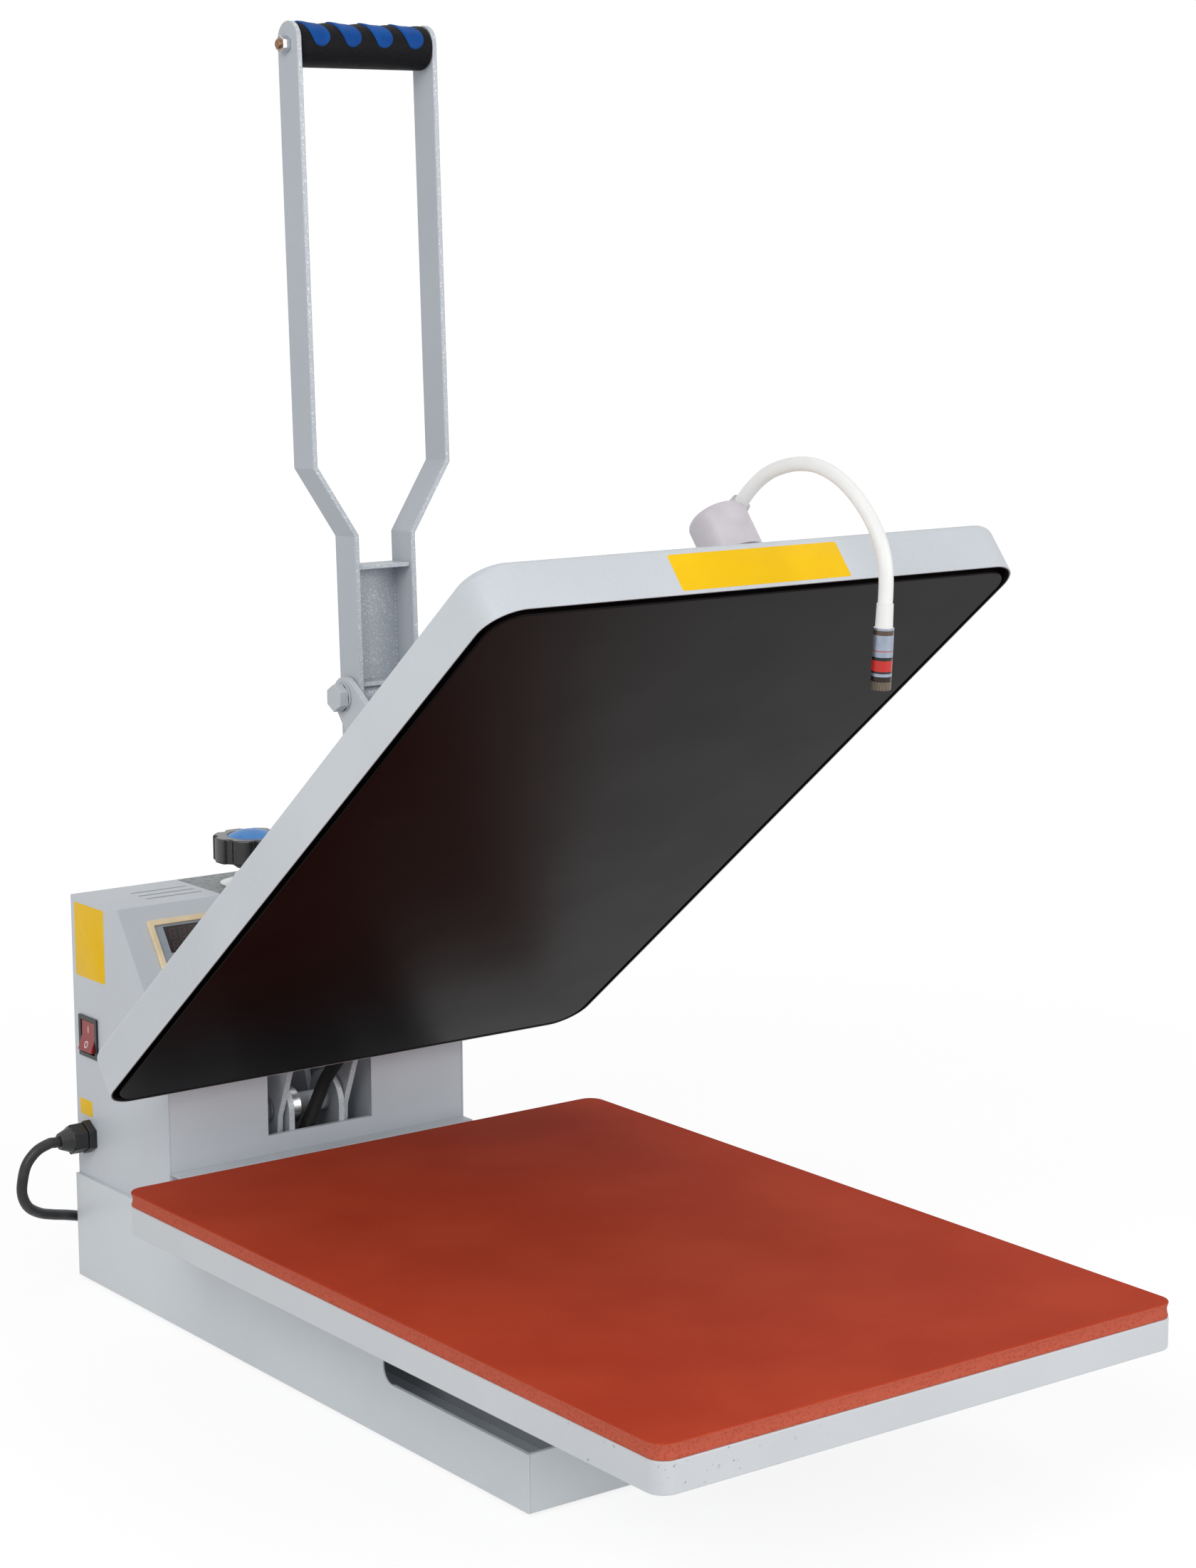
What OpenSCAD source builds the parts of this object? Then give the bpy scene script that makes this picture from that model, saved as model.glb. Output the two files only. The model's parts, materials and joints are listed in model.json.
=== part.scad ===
// Clamshell heat press for dry mounting: a fixed lower platen with a sponge pad, and a hot upper
// platen that a long handle swings down through a toggle link.
// Millimetres. The origin is on the floor under the middle of the machine, +X to the operator's
// right, +Y towards the column at the back, +Z up. The press is drawn open, as it stands idle.

/* [Platens] */
// Width of the lower platen and its pad
platen_w = 400; // [340:10:460]
// Depth of the lower platen, front to back
platen_d = 600; // [560:10:680]
// Thickness of the lower platen
platen_t = 20; // [14:1:26]
// Plan corner radius of the lower platen and its pad
platen_r = 12; // [6:1:20]
// Height of the lower platen's underside above the floor
platen_z = 100; // [94:1:112]
// Thickness of the sponge pad
pad_t = 10; // [6:1:14]
// Width of the hot plate
plate_w = 392; // [340:4:450]
// How much deeper than the pad the hot plate is
plate_extra_d = 6; // [0:1:12]
// Thickness of the hot plate
plate_t = 14; // [10:1:18]
// Plan corner radius of the hot plate
plate_r = 20; // [10:1:30]
// Gap between hot plate and pad when the press is shut
shut_gap = 0.3; // [0.2:0.1:1]
// Black gap left round the hot plate inside its casing
casing_gap = 4.5; // [3:0.5:7]
// Height of the casing's side walls
casing_h = 33.5; // [30:0.5:42]
// Radius of the fold along the casing's top edge
casing_fold = 6; // [3:0.5:9]
// Thickness of the casing's sheet
casing_sheet = 1.5; // [1:0.1:2]
// How far the casing's rim stops behind the hot plate's face
rim_back = 1; // [0.5:0.5:3]

/* [Hinge and toggle] */
// How far the hot platen stands open, in degrees
open_angle = 38.8; // [36:0.2:40]
// Distance of the platen hinge behind the column's front panel
hinge_back = 26; // [24:1:28]
// Height of the platen hinge above the pad
hinge_up = 8; // [6:1:10]
// Radius of the hinge shaft
shaft_r = 8; // [6:0.5:9]
// Distance of the handle pivot in front of the platen hinge, shut
pivot_front = 292; // [289:1:294]
// Height of the handle pivot above the platen hinge, shut
pivot_up = 176; // [174:1:178]
// Distance from the handle pivot down to the toggle pin
toggle_len = 172; // [171.5:0.1:172.5]
// Radius of the handle pivot bolt
pivot_r = 5; // [4:0.5:6]
// Radius of the toggle pin in the column
pin_r = 6; // [5:0.5:7]
// Half of the pressure adjustment's travel
adjust_travel = 4; // [2:0.5:4]
// Radial clearance of a running fit
fit = 0.06; // [0.02:0.01:0.1]
// Side gap between flat linkage plates
side_gap = 0.5; // [0.4:0.1:0.6]

/* [Handle] */
// How far the idle handle leans back, in degrees
handle_lean = 2; // [1:0.5:3]
// Width of the flat handle bars
bar_w = 25; // [20:1:28]
// Thickness of the flat handle bars
bar_t = 4; // [3:0.5:4.5]
// Half width over the handle bars at the grip
handle_half_w = 56; // [46:1:66]
// Height of the lower bend above the pivot
bend_low = 111; // [104:1:118]
// Height of the upper bend above the pivot
bend_high = 159; // [150:1:170]
// Height of the grip above the pivot
grip_up = 442; // [380:2:460]
// Radius of the foam grip
grip_r = 15; // [13.5:0.5:18]
// Number of finger recesses in the grip
finger_count = 4; // [3:1:5]

/* [Column] */
// Half width of the column's sheet covers
cover_half_w = 127.2; // [120:0.2:128]
// Gap between the lower platen and the column
column_gap = 68; // [60:1:80]
// Depth of the column
column_d = 139.5; // [136:0.5:150]
// Height of the sloping face's foot above the pad
slope_up = 67; // [62:1:72]
// Height of the column's top above the pad
top_up = 163.6; // [160:0.2:168]
// Depth of the column's flat top
top_d = 71.5; // [70:0.5:74]
// Thickness of the column's sheet
cover_sheet = 1.5; // [1:0.1:2]
// Half width of the slot between the two cover tops
slot_half_w = 38; // [37:0.5:40]
// Half width of the opening in the front panel
opening_half_w = 44.5; // [43:0.5:48]
// Height of the opening's sill below the pad's top
sill_down = 4.5; // [3:0.5:8]
// Height of a rear screw's head
screw_head_h = 2.5; // [2:0.1:3]

/* [Base] */
// Half width of the base tray
base_half_w = 130; // [129:0.5:134]
// How far the platen overhangs the front of the base
overhang = 222; // [200:2:240]
// Height of the base's walls under the column
base_wall_h = 81; // [76:1:86]
// Height of the cut-down walls at the front
base_low_h = 40; // [32:1:50]
// Length of the cut-down walls
notch_len = 163; // [140:1:180]
// Corner radius of the cut in the side walls
notch_r = 10; // [4:1:16]
// Width of the folded hem along the cut walls
hem_w = 12; // [8:1:16]
// Gap from the walls' lower edge to the floor
skirt_gap = 1.5; // [1:0.5:3]
// Height of the rubber feet
foot_h = 8; // [6:0.5:10]
// Radius of the rubber feet
foot_r = 15; // [11:1:18]
// Distance of each support rail from the middle
rail_x = 60; // [54:1:75]

/* [Pressure knob] */
// Outer radius of the knob over its lobes
knob_r = 28.8; // [26:0.2:32]
// Number of lobes round the knob
lobe_count = 8; // [6:1:10]
// Height of the knob's lobed body
knob_h = 19; // [16:0.5:22]
// Radius of the blue cap
cap_r = 18; // [15:0.5:19]
// Height of the cap's dome over the lobes
cap_h = 4; // [3:0.5:5]
// Radius of the pressure spindle
spindle_r = 8; // [7:0.5:9]
// Height of the turned boss on the column's top
boss_h = 8; // [6:0.5:9]

/* [Controls] */
// Width of the controller's bezel
bezel_w = 56; // [50:1:60]
// Length of the controller's bezel down the slope
bezel_l = 84; // [80:1:90]
// Width of the bezel's rim
bezel_rim = 4.5; // [3:0.5:6]
// Radius of a controller button
button_r = 5; // [4:0.5:6]
// Travel of a controller button
button_travel = 1.2; // [0.8:0.1:1.5]
// Width of the mains switch's frame
switch_w = 27.5; // [24:0.5:29]
// Height of the mains switch's frame
switch_h = 31; // [29:0.5:33]
// Tilt of the rocker either way, in degrees
rocker_tilt = 10; // [8:1:12]

/* [Mains lead] */
// Diameter of the mains lead
cord_d = 8; // [7:0.5:8.5]
// Size across the flats of the cable gland's flange
gland_af = 22; // [19:1:24]
// How far the gland stands out of the cover
gland_out = 26; // [24:1:30]
// Whole turns in the coiled lead, which ends a quarter turn later
coil_turns = 5; // [3:1:6]

/* [Laser pointer] */
// Radius of the pointer's base
laser_base_r = 18.5; // [16:0.5:20]
// Height of the pointer's base
laser_base_h = 32; // [28:1:36]
// Diameter of the gooseneck
neck_d = 8.7; // [7:0.1:9]
// Diameter of the laser module
module_d = 12; // [11:0.5:14]

/* [Hidden] */
$fn = 48;
EPS = 0.01;

// Depth: everything is set out from the platen's front edge, so that the whole is centred
total_d = platen_d + column_gap + column_d + screw_head_h;
front_y = -total_d / 2;
platen_back = front_y + platen_d;
column_front = platen_back + column_gap;
column_back = column_front + column_d;
base_front = front_y + overhang;
notch_y = base_front + notch_len;

// Height: everything is set out from the pad's top
pad_top = platen_z + platen_t + pad_t;
slope_z = pad_top + slope_up;
top_z = pad_top + top_up;
sill_z = pad_top - sill_down;
slope_top_y = column_back - top_d;
slope_angle = atan2(top_z - slope_z, slope_top_y - column_front);
tray_z = foot_h;
tray_top = tray_z + cover_sheet;

// Hinge, pivot and toggle points in the side plane, as [y, z]
hinge = [column_front + hinge_back, pad_top + hinge_up];
pivot_shut = [hinge[0] - pivot_front, hinge[1] + pivot_up];
pivot_open = turned(pivot_shut, hinge, -open_angle);
toggle_open = pivot_open - toggle_len * [sin(handle_lean), cos(handle_lean)];
anchor = [column_back - 48.5, top_z - 33.6];
link_len = norm(toggle_open - anchor);
link_angle = atan2(toggle_open[1] - anchor[1], toggle_open[0] - anchor[0]);

// Shut positions of the hot platen's parts
face_z = pad_top + shut_gap;
plate_d = platen_d + plate_extra_d;
plate_mid_y = front_y + 2 + plate_d / 2;
casing_w = plate_w + 2 * (casing_gap + casing_sheet);
casing_d = plate_d + 2 * (casing_gap + casing_sheet);
rim_z = face_z + rim_back;
casing_top = rim_z + casing_h;
casing_roof = casing_top - casing_sheet;
casing_front = plate_mid_y - casing_d / 2;
casing_back = plate_mid_y + casing_d / 2;
casing_r = plate_r + casing_gap;

// Linkage plates, from the middle outwards
block_half_w = 13.5;
link_in = block_half_w + side_gap;
link_t = 4;
link_out = link_in + link_t;
upright_in = link_out + 1;
upright_t = 5;
upright_out = upright_in + upright_t;
bar_in = upright_out + 1 - bar_t;
bar_out = bar_in + bar_t;
arm_in = bar_out + side_gap;
arm_t = 5;
arm_out = arm_in + arm_t;
link_tube_half = bar_in - side_gap;
link_tip_r = 8;
toggle_end_r = 10;
handle_end_r = bar_w / 2;

// Bridge, block and spindle under the knob
bridge_t = 11;
bridge_top = top_z - 3;
bridge_z = bridge_top - bridge_t;
bridge_d = 28;
bridge_y = anchor[0] - bridge_d / 2;
block_top = bridge_z - adjust_travel - 0.6;
block_z = anchor[1] - 14;
boss_top = top_z + boss_h;
knob_z = top_z + 18.4;
neck_z = boss_top + adjust_travel + 1;
spindle_top = knob_z + knob_h - 4;

// Controller on the sloping face, and switch and gland on the left side
bezel_x = -80;
bezel_down = 13;
window_l = 21;
switch_y = column_back - 23.5;
switch_z = pad_top + 59.5;
gland_y = column_back - 19.5;
gland_z = base_wall_h + 32;
gland_r = cord_d / 2 + 0.3;

// Route of the lead from the gland round the column's back corner to the coil, on the floor
cord_r = cord_d / 2;
cord_start = [-cover_half_w - gland_out, gland_y, gland_z];
CORD_ROUTE = [
  [0, 0, 0], [-4, 0, 0], [-8, 0, 0], [-18, 0.5, -4], [-26, 1.5, -13], [-29, 3, -25], [-28, 6.5, -37],
  [-21.5, 11, -48.5], [-10, 16, -56.5], [3, 21, -61.5], [17, 25, -65.5], [31, 28, -70],
  [44, 31, -76.5], [56, 35, -84], [67, 40, -92], [77, 46, -99.5], [85, 53, -105],
  [91, 61, -108.3], [94, 69, -109], [94, 77, -109]
];
route_drop = 109;
coil_pitch = cord_d + 0.6;
coil_in_r = 34;
coil_lap = coil_turns + 0.25;
coil_out_r = coil_in_r + coil_pitch * coil_lap / 2;

// Route of the gooseneck, from the middle of the pointer's base on the casing, shut
NECK_ROUTE = [
  [14, -11, 33], [15, -22, 34.5], [16, -36, 34], [17, -50, 30], [18.5, -65, 22], [20, -77, 11],
  [21.5, -85.5, -3.5], [22.5, -90, -18.5], [23.5, -91.5, -33.5], [24, -90.5, -47.5],
  [24.5, -87, -59], [24.5, -81.5, -69], [24.5, -75, -77], [24.5, -71, -81.3]
];
laser_base_y = casing_front + 21;
module_tilt = 42.5;
ferrule_l = 14;
module_l = 31;
ring_l = 5;

// Colours
PAINT = "#c9d0d6";
PAINT_DARK = "#5c6166";
STEEL = "#b9bcc0";
BLACK = "#1b1b1d";

function turned(p, c, a) = [
  c[0] + (p[0] - c[0]) * cos(a) - (p[1] - c[1]) * sin(a),
  c[1] + (p[0] - c[0]) * sin(a) + (p[1] - c[1]) * cos(a)
];
function unit(v) = v / norm(v);

// The two points where a line touches circles c1, r1 and c2, r2 on one side of their centre line
function touching(c1, r1, c2, r2, side) =
  let (v = c2 - c1, d = norm(v), a = atan2(v[1], v[0]), b = side * acos((r1 - r2) / d))
  [c1 + r1 * [cos(a + b), sin(a + b)], c2 + r2 * [cos(a + b), sin(a + b)]];

// Smooth curve through a list of points, with n steps to each stretch
function curve_point(a, b, c, d, t) =
  0.5 * (2 * b + (c - a) * t + (2 * a - 5 * b + 4 * c - d) * t * t + (3 * b - a - 3 * c + d) * t * t * t);
function smooth(p, n) = [
  for (i = [0:len(p) - 2]) for (k = [0:n - 1])
    curve_point(p[max(i - 1, 0)], p[i], p[i + 1], p[min(i + 2, len(p) - 1)], k / n),
  p[len(p) - 1]
];
function directions(p) = [for (i = [0:len(p) - 1]) unit(p[min(i + 1, len(p) - 1)] - p[max(i - 1, 0)])];
function squared(u, t) = unit(u - (u * t) * t);
function carried(t, start) = [
  for (i = 0, u = squared(start, t[0]); i < len(t); i = i + 1, u = i < len(t) ? squared(u, t[i]) : u) u
];

// Flat plate with round corners, centred, standing on z = 0
module slab(w, d, h, r) {
  linear_extrude(h) {
    square([w - 2 * r, d], center = true);
    square([w, d - 2 * r], center = true);
    for (x = [-1, 1], y = [-1, 1]) translate([x * (w / 2 - r), y * (d / 2 - r)]) circle(r);
  }
}

// Outline drawn as [y, z], given a thickness t to the right of x
module side_plate(x, t) {
  translate([x, 0, 0]) rotate([90, 0, 90]) linear_extrude(t) children();
}

// Rod along X from x0 to x1 at the side-plane point p
module cross_rod(x0, x1, p, r) {
  translate([x0, p[0], p[1]]) rotate([0, 90, 0]) cylinder(r = r, h = x1 - x0);
}

// Six-sided head or nut along X
module cross_hex(x0, x1, p, af) {
  translate([x0, p[0], p[1]]) rotate([0, 90, 0]) cylinder(d = af / cos(30), h = x1 - x0, $fn = 6);
}

// Takes a part drawn with the platen shut to where it is with the platen open
module opened() {
  translate([0, hinge[0], hinge[1]]) rotate([-open_angle, 0, 0]) translate([0, -hinge[0], -hinge[1]])
    children();
}

// Frame of the handle: its origin is the pivot and its z runs up the bars
module on_handle() {
  translate([0, pivot_open[0], pivot_open[1]]) rotate([-handle_lean, 0, 0]) children();
}

// Frame of the sloping face: its origin is the slope's top edge, y up the slope, z out of it
module on_slope() {
  translate([0, slope_top_y, top_z]) rotate([slope_angle, 0, 0]) children();
}

// Tube of radius r along the points p
module tube_along(p, r, sides, start) {
  t = directions(p);
  u = carried(t, start);
  n = len(p);
  rings = [
    for (i = [0:n - 1]) for (k = [0:sides - 1])
      p[i] + r * (cos(360 * k / sides) * u[i] + sin(360 * k / sides) * cross(t[i], u[i]))
  ];
  walls = [
    for (i = [0:n - 2]) for (k = [0:sides - 1])
      let (a = i * sides + k, b = i * sides + (k + 1) % sides) each [[a, a + sides, b + sides], [a, b + sides, b]]
  ];
  first_end = [for (k = [1:sides - 2]) [0, k, k + 1]];
  last_end = [for (k = [1:sides - 2]) [(n - 1) * sides, (n - 1) * sides + k + 1, (n - 1) * sides + k]];
  polyhedron(points = rings, faces = concat(walls, first_end, last_end));
}

// Base

module wall_outline() {
  difference() {
    translate([base_front, skirt_gap]) square([column_back - base_front, base_wall_h - skirt_gap]);
    translate([base_front - 1, base_low_h + notch_r]) square([notch_len + 1, base_wall_h]);
    translate([base_front - 1, base_low_h]) square([notch_len + 1 - notch_r, base_wall_h]);
    translate([notch_y - notch_r, base_low_h + notch_r]) circle(notch_r);
  }
}

module base_tray() {
  s = cover_sheet;
  flange = 9;
  color(PAINT) {
    for (x = [-base_half_w, base_half_w - s]) side_plate(x, s) wall_outline();
    difference() {
      translate([-base_half_w, base_front + s, tray_z]) cube([2 * base_half_w, column_back - base_front - s, s]);
      for (p = foot_places) translate([p[0], p[1], tray_z - 1]) cylinder(r = 2.2, h = s + 2);
    }
    translate([-base_half_w, column_back - s, skirt_gap]) cube([2 * base_half_w, s, base_wall_h - skirt_gap]);
    for (x = [-base_half_w, base_half_w - flange])
      translate([x, column_front + s, base_wall_h - s]) cube([flange, column_d - s, s]);
    translate([-base_half_w, column_back - flange, base_wall_h - s]) cube([2 * base_half_w, flange, s]);
    for (x = [-base_half_w + s, base_half_w - 2 * s])
      translate([x, base_front + s, base_low_h - hem_w]) cube([s, notch_len - notch_r - s, hem_w]);
  }
}

module base_front_panel() {
  s = cover_sheet;
  half = base_half_w - s;
  color(PAINT) {
    translate([-half, base_front, skirt_gap]) cube([2 * half, s, base_low_h - skirt_gap]);
    translate([-half + s, base_front + s, base_low_h - hem_w]) cube([2 * (half - s), s, hem_w]);
  }
}

foot_places = [for (x = [-1, 1], y = [base_front + 32, column_back - 32]) [x * (base_half_w - 26), y]];

module rubber_feet() {
  color(BLACK) for (p = foot_places) translate([p[0], p[1], 0]) difference() {
    cylinder(r = foot_r, h = foot_h);
    translate([0, 0, -EPS]) cylinder(r = 6, h = 4);
    cylinder(r = 2.2, h = foot_h + 1);
  }
}

rail_front = base_front + 12;
rail_back = column_front - 14;
rail_t = 3;
rail_w = 26;
platen_bolt_y = [for (f = [0.12, 0.5, 0.88]) rail_front + f * (platen_back - rail_front)];

module support_rails() {
  color(PAINT) for (s = [-1, 1]) translate([s * rail_x, 0, 0]) difference() {
    union() {
      translate([-rail_w / 2, rail_front, tray_top]) cube([rail_w, rail_back - rail_front, rail_t]);
      translate([-rail_w / 2, rail_front, platen_z - rail_t]) cube([rail_w, rail_back - rail_front, rail_t]);
      translate([s > 0 ? rail_w / 2 - rail_t : -rail_w / 2, rail_front, tray_top])
        cube([rail_t, rail_back - rail_front, platen_z - tray_top]);
    }
    for (y = platen_bolt_y) translate([0, y, platen_z - rail_t - 1]) cylinder(r = 4.3, h = rail_t + 2);
  }
}

module lower_platen() {
  color("#d5d8da") difference() {
    translate([0, front_y + platen_d / 2, platen_z]) slab(platen_w, platen_d, platen_t, platen_r);
    for (s = [-1, 1], y = platen_bolt_y) translate([s * rail_x, y, platen_z - EPS]) cylinder(r = 4, h = 12);
  }
}

module silicone_pad() {
  color("#a53a27") translate([0, front_y + platen_d / 2, platen_z + platen_t])
    slab(platen_w, platen_d, pad_t, platen_r);
}

foot_plate_t = 5;
foot_plate_top = tray_top + foot_plate_t;
foot_bolt_y = [column_front + 22, column_back - 30];
foot_bolt_x = 70;

// Feet screws, rail bolts and column bolts
module base_bolts() {
  color(STEEL) {
    for (p = foot_places) translate([p[0], p[1], 0]) {
      translate([0, 0, 3.99]) cylinder(r = 2.1, h = tray_top - 3.99);
      translate([0, 0, tray_top]) cylinder(r = 4.5, h = 3);
    }
    for (s = [-1, 1], y = platen_bolt_y) translate([s * rail_x, y, 0]) {
      translate([0, 0, platen_z - rail_t - 5]) cylinder(d = 13 / cos(30), h = 5, $fn = 6);
      translate([0, 0, platen_z - rail_t]) cylinder(r = 3.95, h = rail_t + 11);
    }
    for (s = [-1, 1], y = foot_bolt_y)
      translate([s * foot_bolt_x, y, foot_plate_top]) cylinder(d = 13 / cos(30), h = 6, $fn = 6);
  }
}

// Column frame

module frame_foot() {
  front_gap = 3;
  back_gap = 5;
  color(PAINT) translate([0, (column_front + front_gap + column_back - back_gap) / 2, tray_top])
    slab(2 * foot_bolt_x + 40, column_d - front_gap - back_gap, foot_plate_t, 6);
}

hinge_eye_r = 21;
shoulder = [bridge_y - 2, anchor[1] - 34];
upright_back_y = column_back - 26;

module upright_outline() {
  difference() {
    union() {
      polygon([
        [hinge[0] - hinge_eye_r, foot_plate_top], [upright_back_y, foot_plate_top],
        [upright_back_y, bridge_top], [bridge_y - 2, bridge_top], shoulder,
        touching(shoulder, 0.01, hinge, hinge_eye_r, 1)[1], hinge, [hinge[0] - hinge_eye_r, hinge[1]]
      ]);
      translate(hinge) circle(hinge_eye_r);
    }
    translate(hinge) circle(shaft_r);
    translate(anchor - [pin_r + fit, adjust_travel + 0.4]) square([2 * (pin_r + fit), 2 * (adjust_travel + 0.4)]);
    for (s = [-1, 1]) translate(anchor + [0, s * (adjust_travel + 0.4)]) circle(pin_r + fit);
    for (y = frame_bolt_y) translate([y, bridge_z + bridge_t / 2]) circle(3);
  }
}
frame_bolt_y = [anchor[0] - bridge_d / 2 + 5, anchor[0] + bridge_d / 2 - 5];

module upright_left() {
  color(PAINT) side_plate(-upright_out, upright_t) upright_outline();
}

module upright_right() {
  color(PAINT) side_plate(upright_in, upright_t) upright_outline();
}

module pressure_bridge() {
  color(STEEL) difference() {
    translate([-upright_in, bridge_y, bridge_z]) cube([2 * upright_in, bridge_d, bridge_t]);
    translate([0, anchor[0], bridge_z - 1]) cylinder(r = spindle_r + fit, h = bridge_t + 2);
    for (s = [-1, 1], y = frame_bolt_y) {
      cross_rod(s > 0 ? upright_in - 8 : -upright_in - 1, s > 0 ? upright_in + 1 : -upright_in + 8,
        [y, bridge_z + bridge_t / 2], 2.6);
    }
  }
}

module frame_bolts() {
  z = bridge_z + bridge_t / 2;
  color(STEEL) for (y = frame_bolt_y) {
    cross_rod(upright_in - 7, upright_out, [y, z], 2.55);
    cross_hex(upright_out, upright_out + 4, [y, z], 8);
    cross_rod(-upright_out, -upright_in + 7, [y, z], 2.55);
    cross_hex(-upright_out - 4, -upright_out, [y, z], 8);
  }
}

shaft_end = arm_out + 2;

module hinge_shaft() {
  color(STEEL) cross_rod(-shaft_end, shaft_end, hinge, shaft_r);
}

// Set collar inside the left upright, sleeve between the uprights, and a snap ring on each end
module shaft_collars() {
  bore = shaft_r + 0.05;
  color(STEEL) {
    difference() {
      cross_rod(-upright_in, -upright_in + 10, hinge, shaft_r + 6);
      cross_rod(-upright_in - 1, -upright_in + 11, hinge, bore);
    }
    for (x = [-shaft_end + 0.2, shaft_end - 1.4]) difference() {
      cross_rod(x, x + 1.2, hinge, shaft_r + 2.5);
      cross_rod(x - 1, x + 2, hinge, bore);
    }
  }
}

// Column covers

inner_wall_x = opening_half_w + 1.5;

module front_panel() {
  s = cover_sheet;
  half = cover_half_w - s;
  lip = 3;
  color(PAINT) {
    difference() {
      translate([-half, column_front, tray_top]) cube([2 * half, s, slope_z - tray_top]);
      translate([-opening_half_w, column_front - 1, sill_z]) cube([2 * opening_half_w, s + 2, slope_z]);
    }
    translate([-opening_half_w, column_front + s, sill_z - s]) cube([2 * opening_half_w, lip, s]);
  }
}

ledge_d = 13;
ledge_z = pad_top - 18;

module front_ledge() {
  s = cover_sheet;
  half = cover_half_w - 0.2;
  color(PAINT) {
    translate([-half, column_front - ledge_d, ledge_z - s]) cube([2 * half, ledge_d, s]);
    translate([-half, column_front - ledge_d, ledge_z - 8]) cube([2 * half, s, 8]);
    translate([-half, column_front - s, ledge_z - 22]) cube([2 * half, s, 22]);
  }
}

module cover_outline() {
  polygon([
    [column_front, base_wall_h], [column_front, slope_z], [slope_top_y, top_z],
    [column_back - cover_sheet, top_z], [column_back - cover_sheet, base_wall_h]
  ]);
}

// Left cover as a shell: side, slope, top with a turned-down lip, and inner wall
module cover_shell() {
  s = cover_sheet;
  lip_h = 10;
  slope_in = [cos(slope_angle + 90), sin(slope_angle + 90)] * -s;
  side_plate(-cover_half_w, s) cover_outline();
  side_plate(-inner_wall_x, s) polygon([
    [column_front + s, base_wall_h], [column_front + s, slope_z] + slope_in, [slope_top_y, top_z] + slope_in,
    [column_back - s, top_z - s / 2], [column_back - s, base_wall_h]
  ]);
  side_plate(-cover_half_w, cover_half_w - slot_half_w) polygon([
    [column_front, slope_z], [slope_top_y, top_z], [column_back - s, top_z], [column_back - s, top_z - s],
    [slope_top_y + s * tan(slope_angle / 2), top_z - s], [column_front, slope_z] + [s / sin(slope_angle), 0]
  ]);
  translate([-slot_half_w - s, slope_top_y, top_z - lip_h]) cube([s, top_d - s, lip_h]);
}

module cover_vents() {
  for (k = [0:2]) translate([-cover_half_w + 38, slope_top_y + 20 + 12 * k, top_z - 2 * cover_sheet]) {
    linear_extrude(4 * cover_sheet) {
      square([44, 3]);
      for (x = [0, 44]) translate([x, 1.5]) circle(1.5);
    }
  }
}

module cover_left() {
  color(PAINT) difference() {
    cover_shell();
    cover_vents();
    on_slope() translate([bezel_x - bezel_w / 2 + 2, -bezel_down - bezel_l + 2, -6]) cube([bezel_w - 4, bezel_l - 4, 8]);
    translate([-cover_half_w - 1, switch_y - switch_w / 2 + 2, switch_z - switch_h / 2 + 2])
      cube([cover_sheet + 2, switch_w - 4, switch_h - 4]);
    cross_rod(-cover_half_w - 1, -cover_half_w + cover_sheet + 1, [gland_y, gland_z], 8.2);
  }
}

module cover_right() {
  color(PAINT) mirror([1, 0, 0]) difference() {
    cover_shell();
    cover_vents();
  }
}

rear_screws = [for (x = [-1, 1], z = [base_wall_h + 12, top_z - 12]) [x * (cover_half_w - 10), z]];

module rear_cover() {
  s = cover_sheet;
  color(PAINT) difference() {
    translate([-cover_half_w, column_back - s, base_wall_h]) cube([2 * cover_half_w, s, top_z - base_wall_h]);
    for (row = [0:4], x = [-1, 1]) translate([x * 75, column_back - s - 1, base_wall_h + 50 + 14 * row])
      rotate([-90, 0, 0]) linear_extrude(s + 2) {
        square([46, 4], center = true);
        for (e = [-23, 23]) translate([e, 0]) circle(2);
      }
  }
}

module cover_screws() {
  color(STEEL) for (p = rear_screws) translate([p[0], column_back, p[1]]) rotate([-90, 0, 0])
    cylinder(r1 = 3.6, r2 = 2.4, h = screw_head_h);
}

module top_plate() {
  color(PAINT_DARK) difference() {
    translate([-slot_half_w + 0.2, slope_top_y + 6, bridge_top])
      cube([2 * slot_half_w - 0.4, top_d - 6 - cover_sheet, top_z - bridge_top]);
    translate([0, anchor[0], bridge_top - 1]) cylinder(r = spindle_r + 0.4, h = 6);
  }
}

// Turned boss with a hollow flare
module knob_boss() {
  color("#c3c6c8") translate([0, anchor[0], top_z]) difference() {
    cylinder(r = 24, h = boss_h);
    translate([0, 0, -1]) cylinder(r = spindle_r + 0.4, h = boss_h + 2);
    translate([0, 0, boss_h]) rotate_extrude() translate([24, 0]) scale([11 / (boss_h - 1.5), 1]) circle(boss_h - 1.5);
  }
}

// Controller

module controller_bezel() {
  rim_h = 3;
  body_h = 16;
  color("#e6ddc4") on_slope() translate([bezel_x, -bezel_down - bezel_l / 2, 0]) difference() {
    union() {
      slab(bezel_w, bezel_l, rim_h, 2);
      translate([0, 0, -body_h]) slab(bezel_w - 5, bezel_l - 5, body_h, 1);
    }
    translate([0, 0, -body_h - 1]) slab(bezel_w - 2 * bezel_rim, bezel_l - 2 * bezel_rim, body_h + rim_h + 2, 1);
  }
}

face_w = bezel_w - 2 * bezel_rim;
face_l = bezel_l - 2 * bezel_rim;
face_out = 1.5;
face_t = 2;
button_places = [[-14, -58], [0, -58], [14, -58]];

module controller_face() {
  color("#8d9296") on_slope() translate([bezel_x, 0, 0]) difference() {
    translate([0, -bezel_down - bezel_l / 2, face_out - face_t]) slab(face_w, face_l, face_t, 1);
    for (p = button_places) translate([p[0], p[1], -1]) cylinder(r = button_r + 0.3, h = 4);
    translate([-face_w / 2 + 7, -19 - window_l, -1]) cube([face_w - 10, window_l, 4]);
  }
}

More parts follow.
